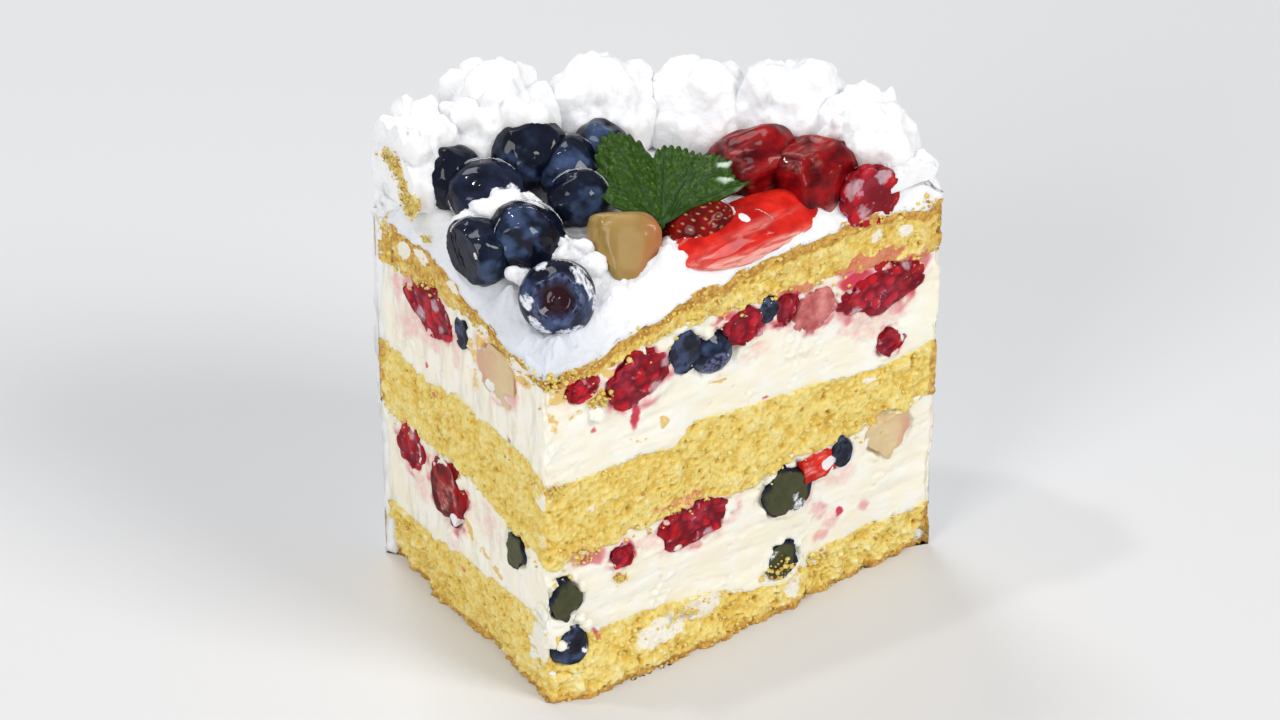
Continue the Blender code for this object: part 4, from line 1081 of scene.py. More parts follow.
def lobe_reach(ways, start, lobes):
    """How far the joined lobes reach along each direction, and how near that is to where two lobes
    meet, which gets painted shade.
    """
    total = np.zeros(len(ways))
    best, second = np.zeros(len(ways)), np.zeros(len(ways))
    for middle, radii, angle in lobes:
        cos, sin = math.cos(-angle), math.sin(-angle)
        back = np.array(((cos, -sin, 0), (sin, cos, 0), (0, 0, 1)))
        ray = ways @ back.T / radii
        gap = back @ (np.array(start) - middle) / radii
        a, b, c = (ray * ray).sum(-1), ray @ gap, gap @ gap - 1
        under = b * b - a * c
        far = np.where(under > 0, (-b + np.sqrt(np.maximum(under, 0))) / a, 0)
        far = np.maximum(far, 0)
        total += np.exp(BLEND * far) * (far > 0)
        second = np.maximum(second, np.minimum(best, far))
        best = np.maximum(best, far)
    reach = np.log(np.maximum(total, 1.0)) / BLEND
    return np.minimum(reach, best + SWELL), np.exp(-(((best - second) / 0.45) ** 2))


ROSETTE_ROWS = 76
ROSETTE_COLUMNS = 114
SKIRT_SHARE = 0.8  # of the way from round to straight
SKIRT_DROP = 1.2  # how far under the ring's level the feet end
BORDER_EDGE = 0.5  # how far inside the coat's outer side the border ends
BORDER_SOFTNESS = 0.5
# Crumb smeared on the short cut of the border, as (y, z, half sizes, strength).
ROSETTE_CRUMBS = ((48.1, 91.1, 3.0, 2.0, 1.0), (43.6, 85.4, 2.8, 2.4, 1.0), (45.4, 88.4, 1.4, 2.0, 0.8))


def held_in(points):
    """How far to draw points of the border in, so that it doesn't hang over the coat."""
    plan = points[:, :2] - (ROUND_CENTRE_X, 0)
    away = np.linalg.norm(plan, axis=-1)
    over = away - (ROUND_RADIUS - BORDER_EDGE)
    over = soft_excess(over, BORDER_SOFTNESS)
    return np.concatenate([plan / away[:, None] * over[:, None], 0 * plan[:, :1]], -1)


def skirted(grid, place):
    """A rosette's rows from its base up, with the lower ones brought out to run straight down."""
    plan = grid[..., :2] - place
    away = np.linalg.norm(plan, axis=-1)
    widest = away.argmax(axis=0)
    columns = np.arange(grid.shape[1])
    share = np.arange(len(grid))[:, None] / widest
    straight = SKIRT_SHARE * smooth(share, 0.10, 0.45) * (share < 1)
    target = away[widest, columns] * (1 - 0.05 * (1 - share))
    new = away + straight * (target - away)
    fall = grid[widest, columns, 2] - (RING_LEVEL - SKIRT_DROP)
    level = RING_LEVEL - SKIRT_DROP + fall * np.clip((share - 0.4) / 0.6, 0, 1)
    grid = grid.copy()
    grid[..., :2] = place + plan * (new / np.maximum(away, 1e-6))[..., None]
    lowered = grid[..., 2] + SKIRT_SHARE * (level - grid[..., 2])
    grid[..., 2] = np.where(share < 1, lowered, grid[..., 2])
    return grid


def make_rosettes(material):
    """The piped border, each rosette a ball of ridges with tips and a fine grain."""
    ways, faces = ball(ROSETTE_ROWS, ROSETTE_COLUMNS)
    for index, (name, place, radius, height, turn) in enumerate(ROSETTES):
        lobes = skirt_lobes(radius, height, turn, index)
        lobes += shown_lobes(BORDER_LOBES[index], radius, height)
        foot = np.array((*place, RING_LEVEL))
        if name == "rosette_6":
            lobes.append((np.array(DOLLOP[0]) - foot, (DOLLOP[1],) * 3, 0.0))
        for beside in ROSETTES[max(index - 1, 0) : index] + ROSETTES[index + 1 : index + 2]:
            lobes.append(bridge(place, beside[1], radius, height))
        start = (0, 0, 0.3 * height)
        reach, crease_shade = lobe_reach(ways, start, lobes)
        points = foot + start + ways * reach[:, None]
        grain = 0.34 * fractal(points, 3.6, 111, 3) + 0.15 * fractal(points, 1.2, 115, 2)
        grain += 0.42 * ridged(points * (1, 1, 0.5), 2.6, 119)
        points = points + ways * grain[:, None]
        points[:-2] = skirted(points[:-2].reshape(ROSETTE_ROWS, -1, 3), place).reshape(-1, 3)
        points = points - held_in(points)
        points[:, 2] = np.maximum(points[:, 2], RING_LEVEL - 1.0)
        points[:, :2] = np.maximum(points[:, :2], 0.12 + 0.2 * wave(points, 2.0, 117)[:, None])
        low = 1 - smooth(points[:, 2], RING_LEVEL, RING_LEVEL + 5)
        juice = low * blob(points[:, 0], points[:, 1], TOP_JUICE)
        crumbs = blob(points[:, 1], points[:, 2], ROSETTE_CRUMBS) * (points[:, 0] < 1.5)
        # Where lobes meet they get painted shade, except low down.
        masks = channels(juice, crumbs, crease_shade * (1 - low), 0)
        make_piece(f"{name}_cream", points, faces, material, (name,), masks)


# ---- fruit ----


def sunflower(count):
    """Directions spread evenly over a ball."""
    step = np.arange(count) + 0.5
    z = 1 - 2 * step / count
    turn = math.pi * (1 + math.sqrt(5)) * step
    out = np.sqrt(1 - z * z)
    return np.stack([out * np.cos(turn), out * np.sin(turn), z], -1)


def nearest(ways, spots):
    """How far each direction is from the nearest spot, and which that is."""
    gap = np.linalg.norm(ways[:, None] - spots, axis=-1)
    return gap.min(-1), gap.argmin(-1)


def blueberry_shape(ways, seed):
    """Skin with a five-pointed crown. Masks: crown, bloom, cream, flesh."""
    polar = np.arccos(np.clip(ways[:, 2], -1, 1))
    turn = np.arctan2(ways[:, 1], ways[:, 0])
    star = 0.5 + 0.5 * np.cos(5 * turn + 0.8 * wave(ways, 0.4, seed))
    rim = np.exp(-(((polar - 0.56 - 0.07 * star) / 0.08) ** 2))
    bowl = 1 - smooth(polar, 0.38, 0.60)
    size = 1 + 0.10 * rim * (0.3 + 0.7 * star) - 0.24 * bowl
    size += 0.05 * bowl * (1 - smooth(polar, 0, 0.14))
    size += 0.035 * fractal(ways, 0.8, seed + 3) - 0.03
    bloom = smooth(fractal(ways * (1, 1, 0.6), 0.5, seed + 5), -0.3, 0.6)
    return ways * size[:, None], channels(bowl, bloom, 0, rim * (0.35 + 0.65 * star))


def dark_berry_shape(ways, seed):
    """A blueberry whose crown is turned away, dented by its neighbours."""
    polar = np.arccos(np.clip(ways[:, 2], -1, 1))
    folds = 0.5 - np.abs(fractal(ways, 0.8, seed + 7, 2))
    size = 0.95 + 0.09 * fractal(ways, 0.9, seed + 3) + 0.08 * folds
    size -= 0.08 * np.exp(-((polar / 0.3) ** 2))
    bloom = 0.2 * smooth(fractal(ways, 0.8, seed + 5), -0.2, 0.7)
    return ways * size[:, None], channels(0, bloom, 0, 0)


def raspberry_shape(ways, seed):
    """Drupelets. Masks: creases between drupelets, which get painted shade, frost, cream, draw of each
    drupelet.
    """
    even = sunflower(40)
    spots = even + 0.07 * np.stack([wave(even, 0.3, seed + k) for k in range(3)], -1)
    gap, which = nearest(ways, spots)
    bump = np.sqrt(np.clip(1 - (gap / 0.36) ** 2, 0, 1))
    size = 0.83 + 0.19 * bump + 0.05 * wave(ways, 0.8, seed)
    draw = hashed(np.stack([which, which * 7, which * 3 + seed], -1), seed)
    frost = smooth(fractal(ways, 0.9, seed + 9), 0.0, 0.9)
    return ways * size[:, None], channels(1 - bump, frost, 0, draw)


def tapered(ways, size):
    """A strawberry's form, narrower towards its tip."""
    taper = 1 - 0.34 * np.clip(ways[:, 2], 0, 1) ** 1.5
    return ways * channels(taper, taper, 1) * size[:, None]


def squared(ways, power, size):
    """A form with soft corners, flatter between them the lower the power."""
    return np.sign(ways) * np.abs(ways) ** power * size[:, None]


def strawberry_shape(ways, seed):
    """Skin with seeds in dimples. Masks: seeds, pale streaks, cream, dimples."""
    gap, _ = nearest(ways, sunflower(150))
    dimple = 1 - smooth(gap, 0.04, 0.11)
    grain = 1 - smooth(gap, 0.025, 0.045)
    size = 1 + 0.025 * fractal(ways, 0.7, seed) - 0.04 * dimple + 0.022 * grain
    return tapered(ways, size), channels(grain, 0, 0, dimple)


def slice_shape(ways, seed):
    """A cut strawberry, its flesh showing. Masks: seeds, pale streaks, cream, dimples."""
    size = 1 + 0.03 * fractal(ways, 0.6, seed)
    streak = smooth(fractal(ways * (0.5, 1.0, 1.0), 0.5, seed + 2), -0.2, 0.7)
    pale = streak * smooth(-ways[:, 1], 0.0, 0.9)
    pale += 0.9 * smooth(-ways[:, 1] - 0.4 * ways[:, 2], 0.5, 0.9)
    return tapered(ways, size), channels(0, np.clip(pale, 0, 1), 0, 0)


def jellied_shape(ways, seed):
    """A piece of strawberry with soft corners. Masks: seeds, pale streaks, cream, dimples."""
    size = 0.93 + 0.11 * fractal(ways, 0.9, seed, 3) + 0.05 * ridged(ways, 0.7, seed + 5)
    pale = smooth(fractal(ways, 0.5, seed + 6), 0.1, 0.9)
    dark = smooth(fractal(ways, 0.8, seed + 8), 0.0, 0.8)
    return squared(ways, 0.78, size), channels(0, 0.25 * pale, 0, dark)


def chunk_shape(ways, seed):
    """A cut chunk with flattish sides. Masks: redder side, pale, cream, wet streaks."""
    size = 0.90 + 0.09 * fractal(ways, 0.8, seed)
    side = smooth(ways[:, 0] + 0.4 * wave(ways, 0.6, seed + 4), -0.1, 0.7)
    pale = smooth(fractal(ways, 0.5, seed + 6), 0.1, 0.9)
    return squared(ways, 0.68, size), channels(side, 0.6 * pale, 0, 0)


SHAPES = {
    "blueberry": (blueberry_shape, "blueberry"),
    "dark_berry": (dark_berry_shape, "blueberry"),
    "cut_blueberry": (dark_berry_shape, "blueberry"),
    "raspberry": (raspberry_shape, "raspberry"),
    "strawberry": (strawberry_shape, "strawberry"),
    "slice": (slice_shape, "strawberry"),
    "peach": (chunk_shape, "peach"),
    "red_chunk": (chunk_shape, "strawberry"),
    "jellied": (jellied_shape, "strawberry"),
}
# Cream stuck to fruit on top, as (x, y, z, radius).
FRUIT_CREAM = (
    (14.6, 4.2, 80.6, 2.4), (9.0, 3.6, 76.0, 2.6), (3.4, 6.4, 76.6, 2.2), (15.4, 15.4, 85.6, 2.2),
    (9.0, 27.0, 88.6, 2.8), (13.4, 29.6, 90.0, 2.4), (46.0, 4.6, 86.4, 1.2),
    (70.2, -1.6, 82.0, 2.6), (73.6, -1.0, 87.6, 2.4), (67.8, 0.6, 86.6, 2.4),
    (33.0, 27.6, 88.0, 2.0), (38.6, 3.0, 81.4, 1.5),
)


def cream_on(points):
    """How much cream lies on each point of the fruit."""
    best = np.zeros(len(points))
    ragged = 0.5 * fractal(points, 1.6, 121, 3)
    for *place, radius in FRUIT_CREAM:
        away = np.linalg.norm(points - place, axis=-1)
        best = np.maximum(best, 1 - smooth(away + ragged, radius * 0.5, radius * 1.2))
    return best


def seed_of(name):
    """A seed worked out from a piece's name."""
    return sum(ord(letter) * (place + 3) for place, letter in enumerate(name)) % 9973


# Spots on the fruit that lies on top, seen from the camera: mask, right and up of the middle and size,
# in shares of the fruit's radius. Mask 1 is bloom or paleness; on the dark berries its blue spots are
# partly real bloom and partly a painted reflection. Mask 2 is cream.
TOP_SPOTS = {
    "blueberry_1": (
        (2, 0.62, 0.52, 0.42), (2, 0.84, 0.20, 0.36), (2, -0.45, 0.80, 0.36), (2, 0.10, -0.95, 0.30),
        (2, -0.80, -0.10, 0.34), (2, -0.6, -0.6, 0.24), (1, -0.7, 0.1, 0.5), (1, 0.5, -0.6, 0.6),
        (1, -0.3, -0.8, 0.5),
    ),
    "blueberry_2": (
        (1, -0.1, 0.35, 0.6), (1, -0.6, -0.3, 0.5), (2, -0.1, -0.92, 0.30), (2, 0.8, -0.5, 0.3),
    ),
    "blueberry_3": ((1, 0.3, -0.6, 0.5), (2, -0.2, -0.2, 0.16)),
    "blueberry_4": ((1, 0.1, -0.55, 0.45), (2, 0.7, -0.7, 0.35), (2, 0.35, -0.3, 0.14)),
    "blueberry_6": ((1, -0.55, -0.45, 0.55), (1, -0.1, -0.7, 0.4)),
    "blueberry_7": ((1, -0.4, 0.0, 0.85), (1, 0.1, 0.3, 0.5)),
    "blueberry_8": ((1, 0.4, -0.5, 0.8), (1, 0.7, -0.2, 0.5), (2, -0.7, -0.6, 0.25)),
    "blueberry_9": ((1, 0.0, 0.3, 0.8),),
}
TOP_FRUIT_BALL = (54, 78)
# How much further the ends of the large slice reach, for each millimetre from its middle.
SLICE_NEAR_END = (-0.16, -0.05, 0.17)
SLICE_FAR_END = (0.09, -0.03, -0.09)
# How far the low side of strawberry_4 hangs, for each millimetre below its middle, in the view.
HANG_DOWN, HANG_ASIDE = 0.34, 0.12
# The peach: how far its left and right sides draw in lower down, and how much longer it is there.
PEACH_LEFT, PEACH_RIGHT, PEACH_LONGER = 1.0, 0.3, 0.62


def turned_by(degrees):
    return np.array(Euler([math.radians(angle) for angle in degrees]).to_matrix())


def make_top_fruit(materials):
    """The fruit that lies on the cream."""
    for name, kind, centre, radii, degrees in TOP_FRUIT:
        shape, slot = SHAPES[kind]
        ways, faces = ball(*TOP_FRUIT_BALL)
        local, masks = shape(ways, seed_of(name))
        points = centre + (local * radii) @ turned_by(degrees).T
        if name == "strawberry_2":
            along = local[:, 0] * radii[0]
            points = points + np.maximum(-along, 0)[:, None] * SLICE_NEAR_END
            points = points + np.maximum(along, 0)[:, None] * SLICE_FAR_END
        if name == "strawberry_4":
            low = np.clip(-(points - centre) @ VIEW_UP, 0, None)
            points = points - low[:, None] * (HANG_DOWN * VIEW_UP + HANG_ASIDE * VIEW_RIGHT)
        if name == "peach_top":
            points, masks[:, 0] = shield(points - centre, radii[0])
            points = points + centre
        masks[:, 2] = cream_on(points)
        for mask, right, up, size in TOP_SPOTS.get(name, ()):
            front = math.sqrt(max(1 - right * right - up * up, 0))
            way = right * VIEW_RIGHT + up * VIEW_UP + front * VIEW_BACK
            away = np.linalg.norm((points - centre) / max(radii) - way, axis=-1)
            rough = 1 + 0.45 * fractal(points, 2.0, 123, 3)
            masks[:, mask] = np.maximum(masks[:, mask], 1 - smooth(away * rough / size, 0.5, 1.0))
        points[:, :2] = np.maximum(points[:, :2], 0.1 + 0.1 * wave(points, 1.2, 131)[:, None])
        make_piece(f"{name}_fruit", points, faces, materials[kind], (name,), masks)


def shield(points, size):
    """The peach as the camera sees it, narrower and longer downwards, and how rosy each point is."""
    right, up = points @ VIEW_RIGHT / size, points @ VIEW_UP / size
    low = np.clip(-up, 0, 1)
    shift = -np.where(right < 0, PEACH_LEFT, PEACH_RIGHT) * low * right * size
    longer = -PEACH_LONGER * low * size
    points = points + shift[:, None] * VIEW_RIGHT + longer[:, None] * VIEW_UP
    return points, smooth(right + 0.25 * low, 0.15, 0.85)


def face_offset(points, long_face):
    """How far the cut face stands out at points on it, with its swell and its foot."""
    flat = points.copy()
    flat[:, 1 if long_face else 0] = 0
    long_foot, short_foot = foot_shift(points[:, 0], points[:, 1], points[:, 2])
    return face_swell(flat) + (long_foot if long_face else short_foot)


RIM_SOFTNESS = 0.3  # over which fruit rounds over into its cut
ROUND_SPOT = np.array((36.9, 60.9))  # where blueberry_u2 lost its skin
UPPER_CREAM = 45  # above this height fruit lies in the upper cream
BURIED = 1.3  # how far fruit goes in behind the sponge
# Between these levels fruit lies in the cream: it goes behind the sponge above and below them.
CREAM_SPANS = {
    "u": ("sponge_middle_top", "sponge_top_base"),
    "l": ("sponge_bottom_top", "sponge_middle_base"),
}


def behind_sponge(points, span):
    """How far under the sponge above or below its cream each point is."""
    flat = np.maximum(points, 0)
    low, high = (level_height(level, flat[:, 0], flat[:, 1]) for level in CREAM_SPANS[span])
    over = np.maximum(points[:, 2] - high, low - points[:, 2])
    return smooth(over, -0.3, 0.7)


IN_FRONT = ("blueberry_l5",)  # lies on the sponge's face
# How much narrower some pieces get to their lower and upper ends.
POINTED = {
    "peach_l1": (0.75, 0.0), "blueberry_l4": (0.0, 0.62), "blueberry_l1": (0.3, 0.1),
    "strawberry_s2": (0.45, 0.2), "raspberry_u2": (0.35, 0.0), "raspberry_u6": (0.3, 0.3),
    "strawberry_u1": (0.1, 0.4), "raspberry_l2": (0.2, 0.3),
}
# Cream smeared over fruit on the cuts, as (on the long cut, distance, height, radius).
FACE_CREAM = (
    (True, 56.4, 22.0, 2.4), (True, 55.2, 24.2, 1.2), (True, 63.0, 29.2, 1.7),
    (True, 23.6, 61.4, 1.8), (True, 26.2, 65.6, 1.6), (True, 6.0, 15.6, 1.3),
    (True, 3.6, 12.0, 1.0), (True, 5.6, 18.2, 1.3), (True, 7.6, 9.6, 1.2), (True, 47.0, 64.2, 1.4),
    (True, 68.0, 60.4, 1.6), (True, 36.0, 24.0, 1.3), (True, 50.6, 12.6, 1.4),
    (True, 79.4, 67.0, 1.2), (False, 40.6, 63.4, 1.7), (False, 36.0, 67.6, 1.2),
    (False, 34.6, 63.0, 1.0), (False, 46.0, 33.0, 1.4), (False, 31.0, 22.6, 1.6),
    (False, 17.6, 60.6, 1.6),
)
# Pieces whose colour isn't their kind's.
OWN_PAINT = {
    "strawberry_s2": "jellied",
    "strawberry_l1": "slice",
    "peach_l1": "pale_peach",
    "strawberry_s1": "pale_peach",
}


def make_face_fruit(materials):
    """The fruit that shows on the cuts."""
    for long_face, pieces in ((True, LONG_FACE_FRUIT), (False, SHORT_FACE_FRUIT)):
        for name, kind, *placing in pieces:
            points, faces, masks = face_fruit(name, kind, long_face, *placing)
            paint = materials[OWN_PAINT.get(name, kind)]
            make_piece(f"{name}_fruit", points, faces, paint, (name,), masks)


def face_fruit(name, kind, long_face, distance, height, width, rise, depth, proud):
    """One piece of fruit, level with its cut where the knife went through it."""
    inward = np.array((0, 1.0, 0) if long_face else (1.0, 0, 0))
    along = np.array((1.0, 0, 0) if long_face else (0, 1.0, 0))
    rows = int(30 + 4.4 * max(width, rise))
    ways, faces = ball(rows, int(1.4 * rows))
    if long_face:
        faces = [group[:, ::-1] for group in faces]
    shape, slot = SHAPES[kind]
    seed = seed_of(name)
    local, masks = shape(ways, seed)
    whole = kind == "blueberry"
    ragged = 1 + (0.05 if whole else 0.26) * fractal(ways, 0.8, seed + 11, 3)
    below, above = POINTED.get(name, (0.0, 0.0))
    narrow = below * np.clip(-local[:, 1], 0, 1) + above * np.clip(local[:, 1], 0, 1)
    local = local * ragged[:, None] * (width, rise, FRUIT_DEPTH)
    local[:, 0] *= 1 - narrow
    # The ball's poles lie along the depth, so that its drupelets face out.
    points = distance * along + local[:, :1] * along + (depth + local[:, 2:]) * inward
    points[:, 2] += height + local[:, 1]
    stand = -(depth + local[:, 2])
    flesh = cells(points * (1, 1, 1.0 if long_face else 0.55), 1.9, seed)
    cut = smooth(stand, -0.6, 0.6) * (not whole)
    if slot == "raspberry":
        relief = 0.6 * (0.45 - flesh[0])
    else:
        relief = 0.22 * fractal(points, 1.8, seed)
    buried = 0.0 if name in IN_FRONT else BURIED
    span = "u" if height > UPPER_CREAM else "l"
    limit = proud - 0.1 + relief - buried * behind_sponge(points, span)
    squashed = limit - soft_excess(limit - stand, RIM_SOFTNESS)
    squashed += face_offset(points, long_face)
    points -= inward * (squashed - stand)[:, None]
    show_cut(masks, name, kind, ways, points, cut, flesh)
    masks[:, 2] = np.maximum(masks[:, 2], cream_beside(points, long_face, seed))
    return points, faces, masks


def show_cut(masks, name, kind, ways, points, cut, flesh):
    """Changes the masks of a piece on a cut where the knife went through it."""
    seed = seed_of(name)
    if kind == "red_chunk":
        masks[:, 0] *= "peach" in OWN_PAINT.get(name, "")
    if kind == "cut_blueberry":
        rim = np.hypot(ways[:, 0], ways[:, 1])
        masks[:, 3] = cut * (1 - smooth(rim + 0.10 * wave(points, 1.5, seed), 0.80, 0.96))
    if kind == "raspberry":
        frost = smooth(fractal(points, 2.6, seed + 1), 0.0, 0.8)
        # On the cut, the edges of the cells, sunk in its relief, get painted shade.
        masks[:, 0] = masks[:, 0] * (1 - cut) + cut * smooth(flesh[0], 0.35, 0.75)
        masks[:, 1] = np.maximum(masks[:, 1], cut * frost)
        masks[:, 3] = masks[:, 3] * (1 - cut) + cut * flesh[2]
    if name == "blueberry_u2":
        rough = 0.5 * wave(points, 1.4, seed)
        spot = np.linalg.norm(points[:, [0, 2]] - ROUND_SPOT, axis=-1)
        masks[:, 2] = 0.5 * np.exp(-(((spot - 2.7 + 0.3 * rough) / 0.6) ** 2))
        masks[:, 3] = 1 - smooth(spot + 0.4 * rough, 2.5, 3.2)


def cream_beside(points, long_face, seed):
    """How much of the cream smeared on a cut lies on each point of its fruit."""
    best = np.zeros(len(points))
    ragged = 0.5 * fractal(points * (1, 1, 1.0 if long_face else 0.6), 1.6, seed, 3)
    for on_long, distance, height, radius in FACE_CREAM:
        if on_long == long_face:
            away = np.hypot(points[:, 0 if long_face else 1] - distance, points[:, 2] - height)
            best = np.maximum(best, 1 - smooth(away + ragged, radius * 0.4, radius * 1.3))
    return 0.9 * best


def blueberry_material(name, cut):
    """Nearly black skin with blue bloom, partly a painted blue reflection, under clear jelly. Masks:
    crown, bloom, cream, flesh.
    """
    paint = Paint(name, roughness=0.5, Coat_Weight=0.45, Coat_Roughness=0.07, Specular_IOR_Level=0.02)
    crown, bloom, cream, flesh = paint.masks
    grain = paint.noise(0.9, 4)
    colour = paint.mix(paint.noise(2.4, 3), (0.002, 0.002, 0.005), (0.006, 0.009, 0.026))
    # Blue patches: partly real bloom, partly painted reflection.
    patch = paint.between(paint.noise(4.0, 2), 0.30, 0.66)
    blue = paint.mix(paint.noise(1.6, 3), (0.018, 0.034, 0.09), (0.080, 0.125, 0.25))
    colour = paint.mix(paint.times(bloom, patch), colour, blue)
    colour = paint.tint(colour, (0.026, 0.004, 0.008), crown, 0.9)
    pulp = paint.mix(paint.noise(3.0, 3), (0.030, 0.034, 0.012), (0.085, 0.085, 0.030))
    ring = paint.times(flesh, paint.between(grain, 0.40, 0.60))
    colour = paint.mix(*((flesh, colour, pulp) if cut else (ring, colour, (0.11, 0.13, 0.27))))
    thinned = paint.times(cream, 0.64)
    smeared = paint.patchy(thinned, paint.noise(0.8, 5, 0.7, stretch=(1.0, 0.45, 1.0)), 0.35, 0.72, 1.5)
    colour = paint.mix(smeared, colour, (0.86, 0.88, 0.94))
    normal = paint.bump(paint.noise(2.2, 4), 0.9, 0.6)
    normal = paint.bump(grain, 0.14, 0.5, below=normal)
    return paint.finish(colour, normal)


def raspberry_material():
    """Translucent red, darker in the creases between drupelets as painted shade. Masks: creases, frost,
    cream, draw of each drupelet.
    """
    paint = Paint(
        "raspberry", roughness=0.45, Coat_Weight=0.1, Coat_Roughness=0.06, Specular_IOR_Level=0.08,
        **soft(0.25, 1.6, (1, 0.25, 0.25)),
    )
    crease_shade, frost, cream, draw = paint.masks
    grain = paint.noise(0.8, 4)
    colour = paint.mix(draw, (0.16, 0.002, 0.007), (0.56, 0.010, 0.018))
    colour = paint.tint(colour, (0.70, 0.12, 0.22), frost, 0.16)
    # Painted shade in the creases between drupelets.
    colour = paint.tint(colour, (0.13, 0.003, 0.014), crease_shade, 0.75)
    pale = paint.between(paint.noise(1.7, 4), 0.60, 0.70)
    colour = paint.tint(colour, (0.78, 0.40, 0.52), pale, 0.5)
    frosted = paint.times(paint.patchy(cream, grain, 0.25, 1.0, 1.1), 0.45)
    colour = paint.mix(frosted, colour, (0.88, 0.72, 0.80))
    return paint.finish(colour, paint.bump(grain, 0.12, 0.5))


def strawberry_material(name, dark, bright):
    """Red flesh or skin under jelly, darker in the seed dimples as painted shade. Masks: seeds, pale
    streaks, cream, dimples.
    """
    paint = Paint(
        name, roughness=0.45, Coat_Weight=0.25, Coat_Roughness=0.06, Specular_IOR_Level=0.03,
        **soft(0.22, 2.0, (1, 0.2, 0.15)),
    )
    grain_mask, pale, cream, dimple = paint.masks
    grain = paint.noise(1.0, 4)
    colour = paint.mix(paint.between(paint.noise(4.0, 3), 0.3, 0.7), dark, bright)
    fibre = paint.between(paint.noise(0.7, 3, stretch=(0.14, 0.8, 1.0)), 0.40, 0.64)
    streaked = paint.times(pale, paint.math("ADD", fibre, 0.25))
    colour = paint.mix(streaked, colour, (0.86, 0.40, 0.34))
    # Painted shade in the dimples round the seeds; on jellied pieces this mask holds random darker
    # patches instead.
    colour = paint.tint(colour, dark, dimple, 0.7)
    colour = paint.mix(grain_mask, colour, (0.60, 0.36, 0.10))
    colour = paint.mix(paint.patchy(cream, grain), colour, (0.90, 0.84, 0.86))
    return paint.finish(colour, paint.bump(grain, 0.10, 0.4))


def peach_material(name, dark, bright, rosy):
    """Translucent gold flesh, redder on one side. Masks: redder side, pale, cream, wet streaks."""
    paint = Paint(
        name, roughness=0.4, Coat_Weight=0.3, Coat_Roughness=0.08, Specular_IOR_Level=0.1,
        **soft(0.4, 3.0, (1, 0.6, 0.3)),
    )
    side, pale, cream, _ = paint.masks
    grain = paint.noise(1.1, 4)
    colour = paint.mix(paint.noise(5.0, 2), dark, bright)
    colour = paint.tint(colour, (0.66, 0.50, 0.27), pale, 0.35)
    colour = paint.tint(colour, rosy, side, 0.7)
    colour = paint.mix(paint.patchy(cream, grain), colour, (0.90, 0.86, 0.80))
    return paint.finish(colour, paint.bump(grain, 0.10, 0.4))


# Colours of each kind: dark, bright and, on peach, the redder side.
STRAWBERRY_PAINTS = {
    "strawberry": ("strawberry", (0.08, 0.002, 0.003), (0.26, 0.005, 0.006)),
    "slice": ("strawberry_flesh", (0.46, 0.008, 0.006), (0.76, 0.026, 0.014)),
    "red_chunk": ("strawberry_pale", (0.40, 0.06, 0.07), (0.72, 0.26, 0.24)),
    "jellied": ("strawberry_jellied", (0.06, 0.001, 0.003), (0.34, 0.006, 0.008)),
}
PEACH_PAINTS = {
    "peach": ("peach", (0.28, 0.18, 0.042), (0.40, 0.26, 0.085), (0.46, 0.14, 0.06)),
    "pale_peach": ("peach_pale", (0.62, 0.44, 0.22), (0.78, 0.62, 0.38), (0.62, 0.26, 0.20)),
}


def fruit_materials():
    fruit = {kind: strawberry_material(*paint) for kind, paint in STRAWBERRY_PAINTS.items()}
    fruit |= {kind: peach_material(*paint) for kind, paint in PEACH_PAINTS.items()}
    fruit["raspberry"] = raspberry_material()
    fruit["cut_blueberry"] = blueberry_material("blueberry_cut", cut=True)
    fruit["blueberry"] = fruit["dark_berry"] = blueberry_material("blueberry", cut=False)
    return fruit


# ---- leaf ----

LEAF_GRID = (230, 44)
STEM_SIDES = 14
# The leaf's outline as (turn in degrees from the left, reach) from where its stem joins, and the
# turns of its main veins.
LEAF_OUTLINE = (
    (20, 5.0), (24, 9.5), (28, 11.6), (33, 14.4), (39, 16.2), (49, 17.6), (53, 20.2), (60, 22.3),
    (65, 22.9), (74, 21.0), (80, 18.6), (83.5, 15.8), (88, 18.0), (93, 18.8), (101, 18.5), (112, 17.8),
    (123, 18.2), (135, 18.0), (139, 16.6), (148, 16.4), (150.6, 18.7), (153, 14.0), (154, 8.0),
)
LEAF_TURNS = (20, 154)
LEAF_VEINS = (28, 46, 65, 92, 112, 131, 149)
LEAF_FOOT_DROP = (3.6, -0.7)  # how far below the solid's foot its stem joins, and to the right
LEAF_TEETH = 31
LEAF_FOLD = 84  # turn of the valley between its halves


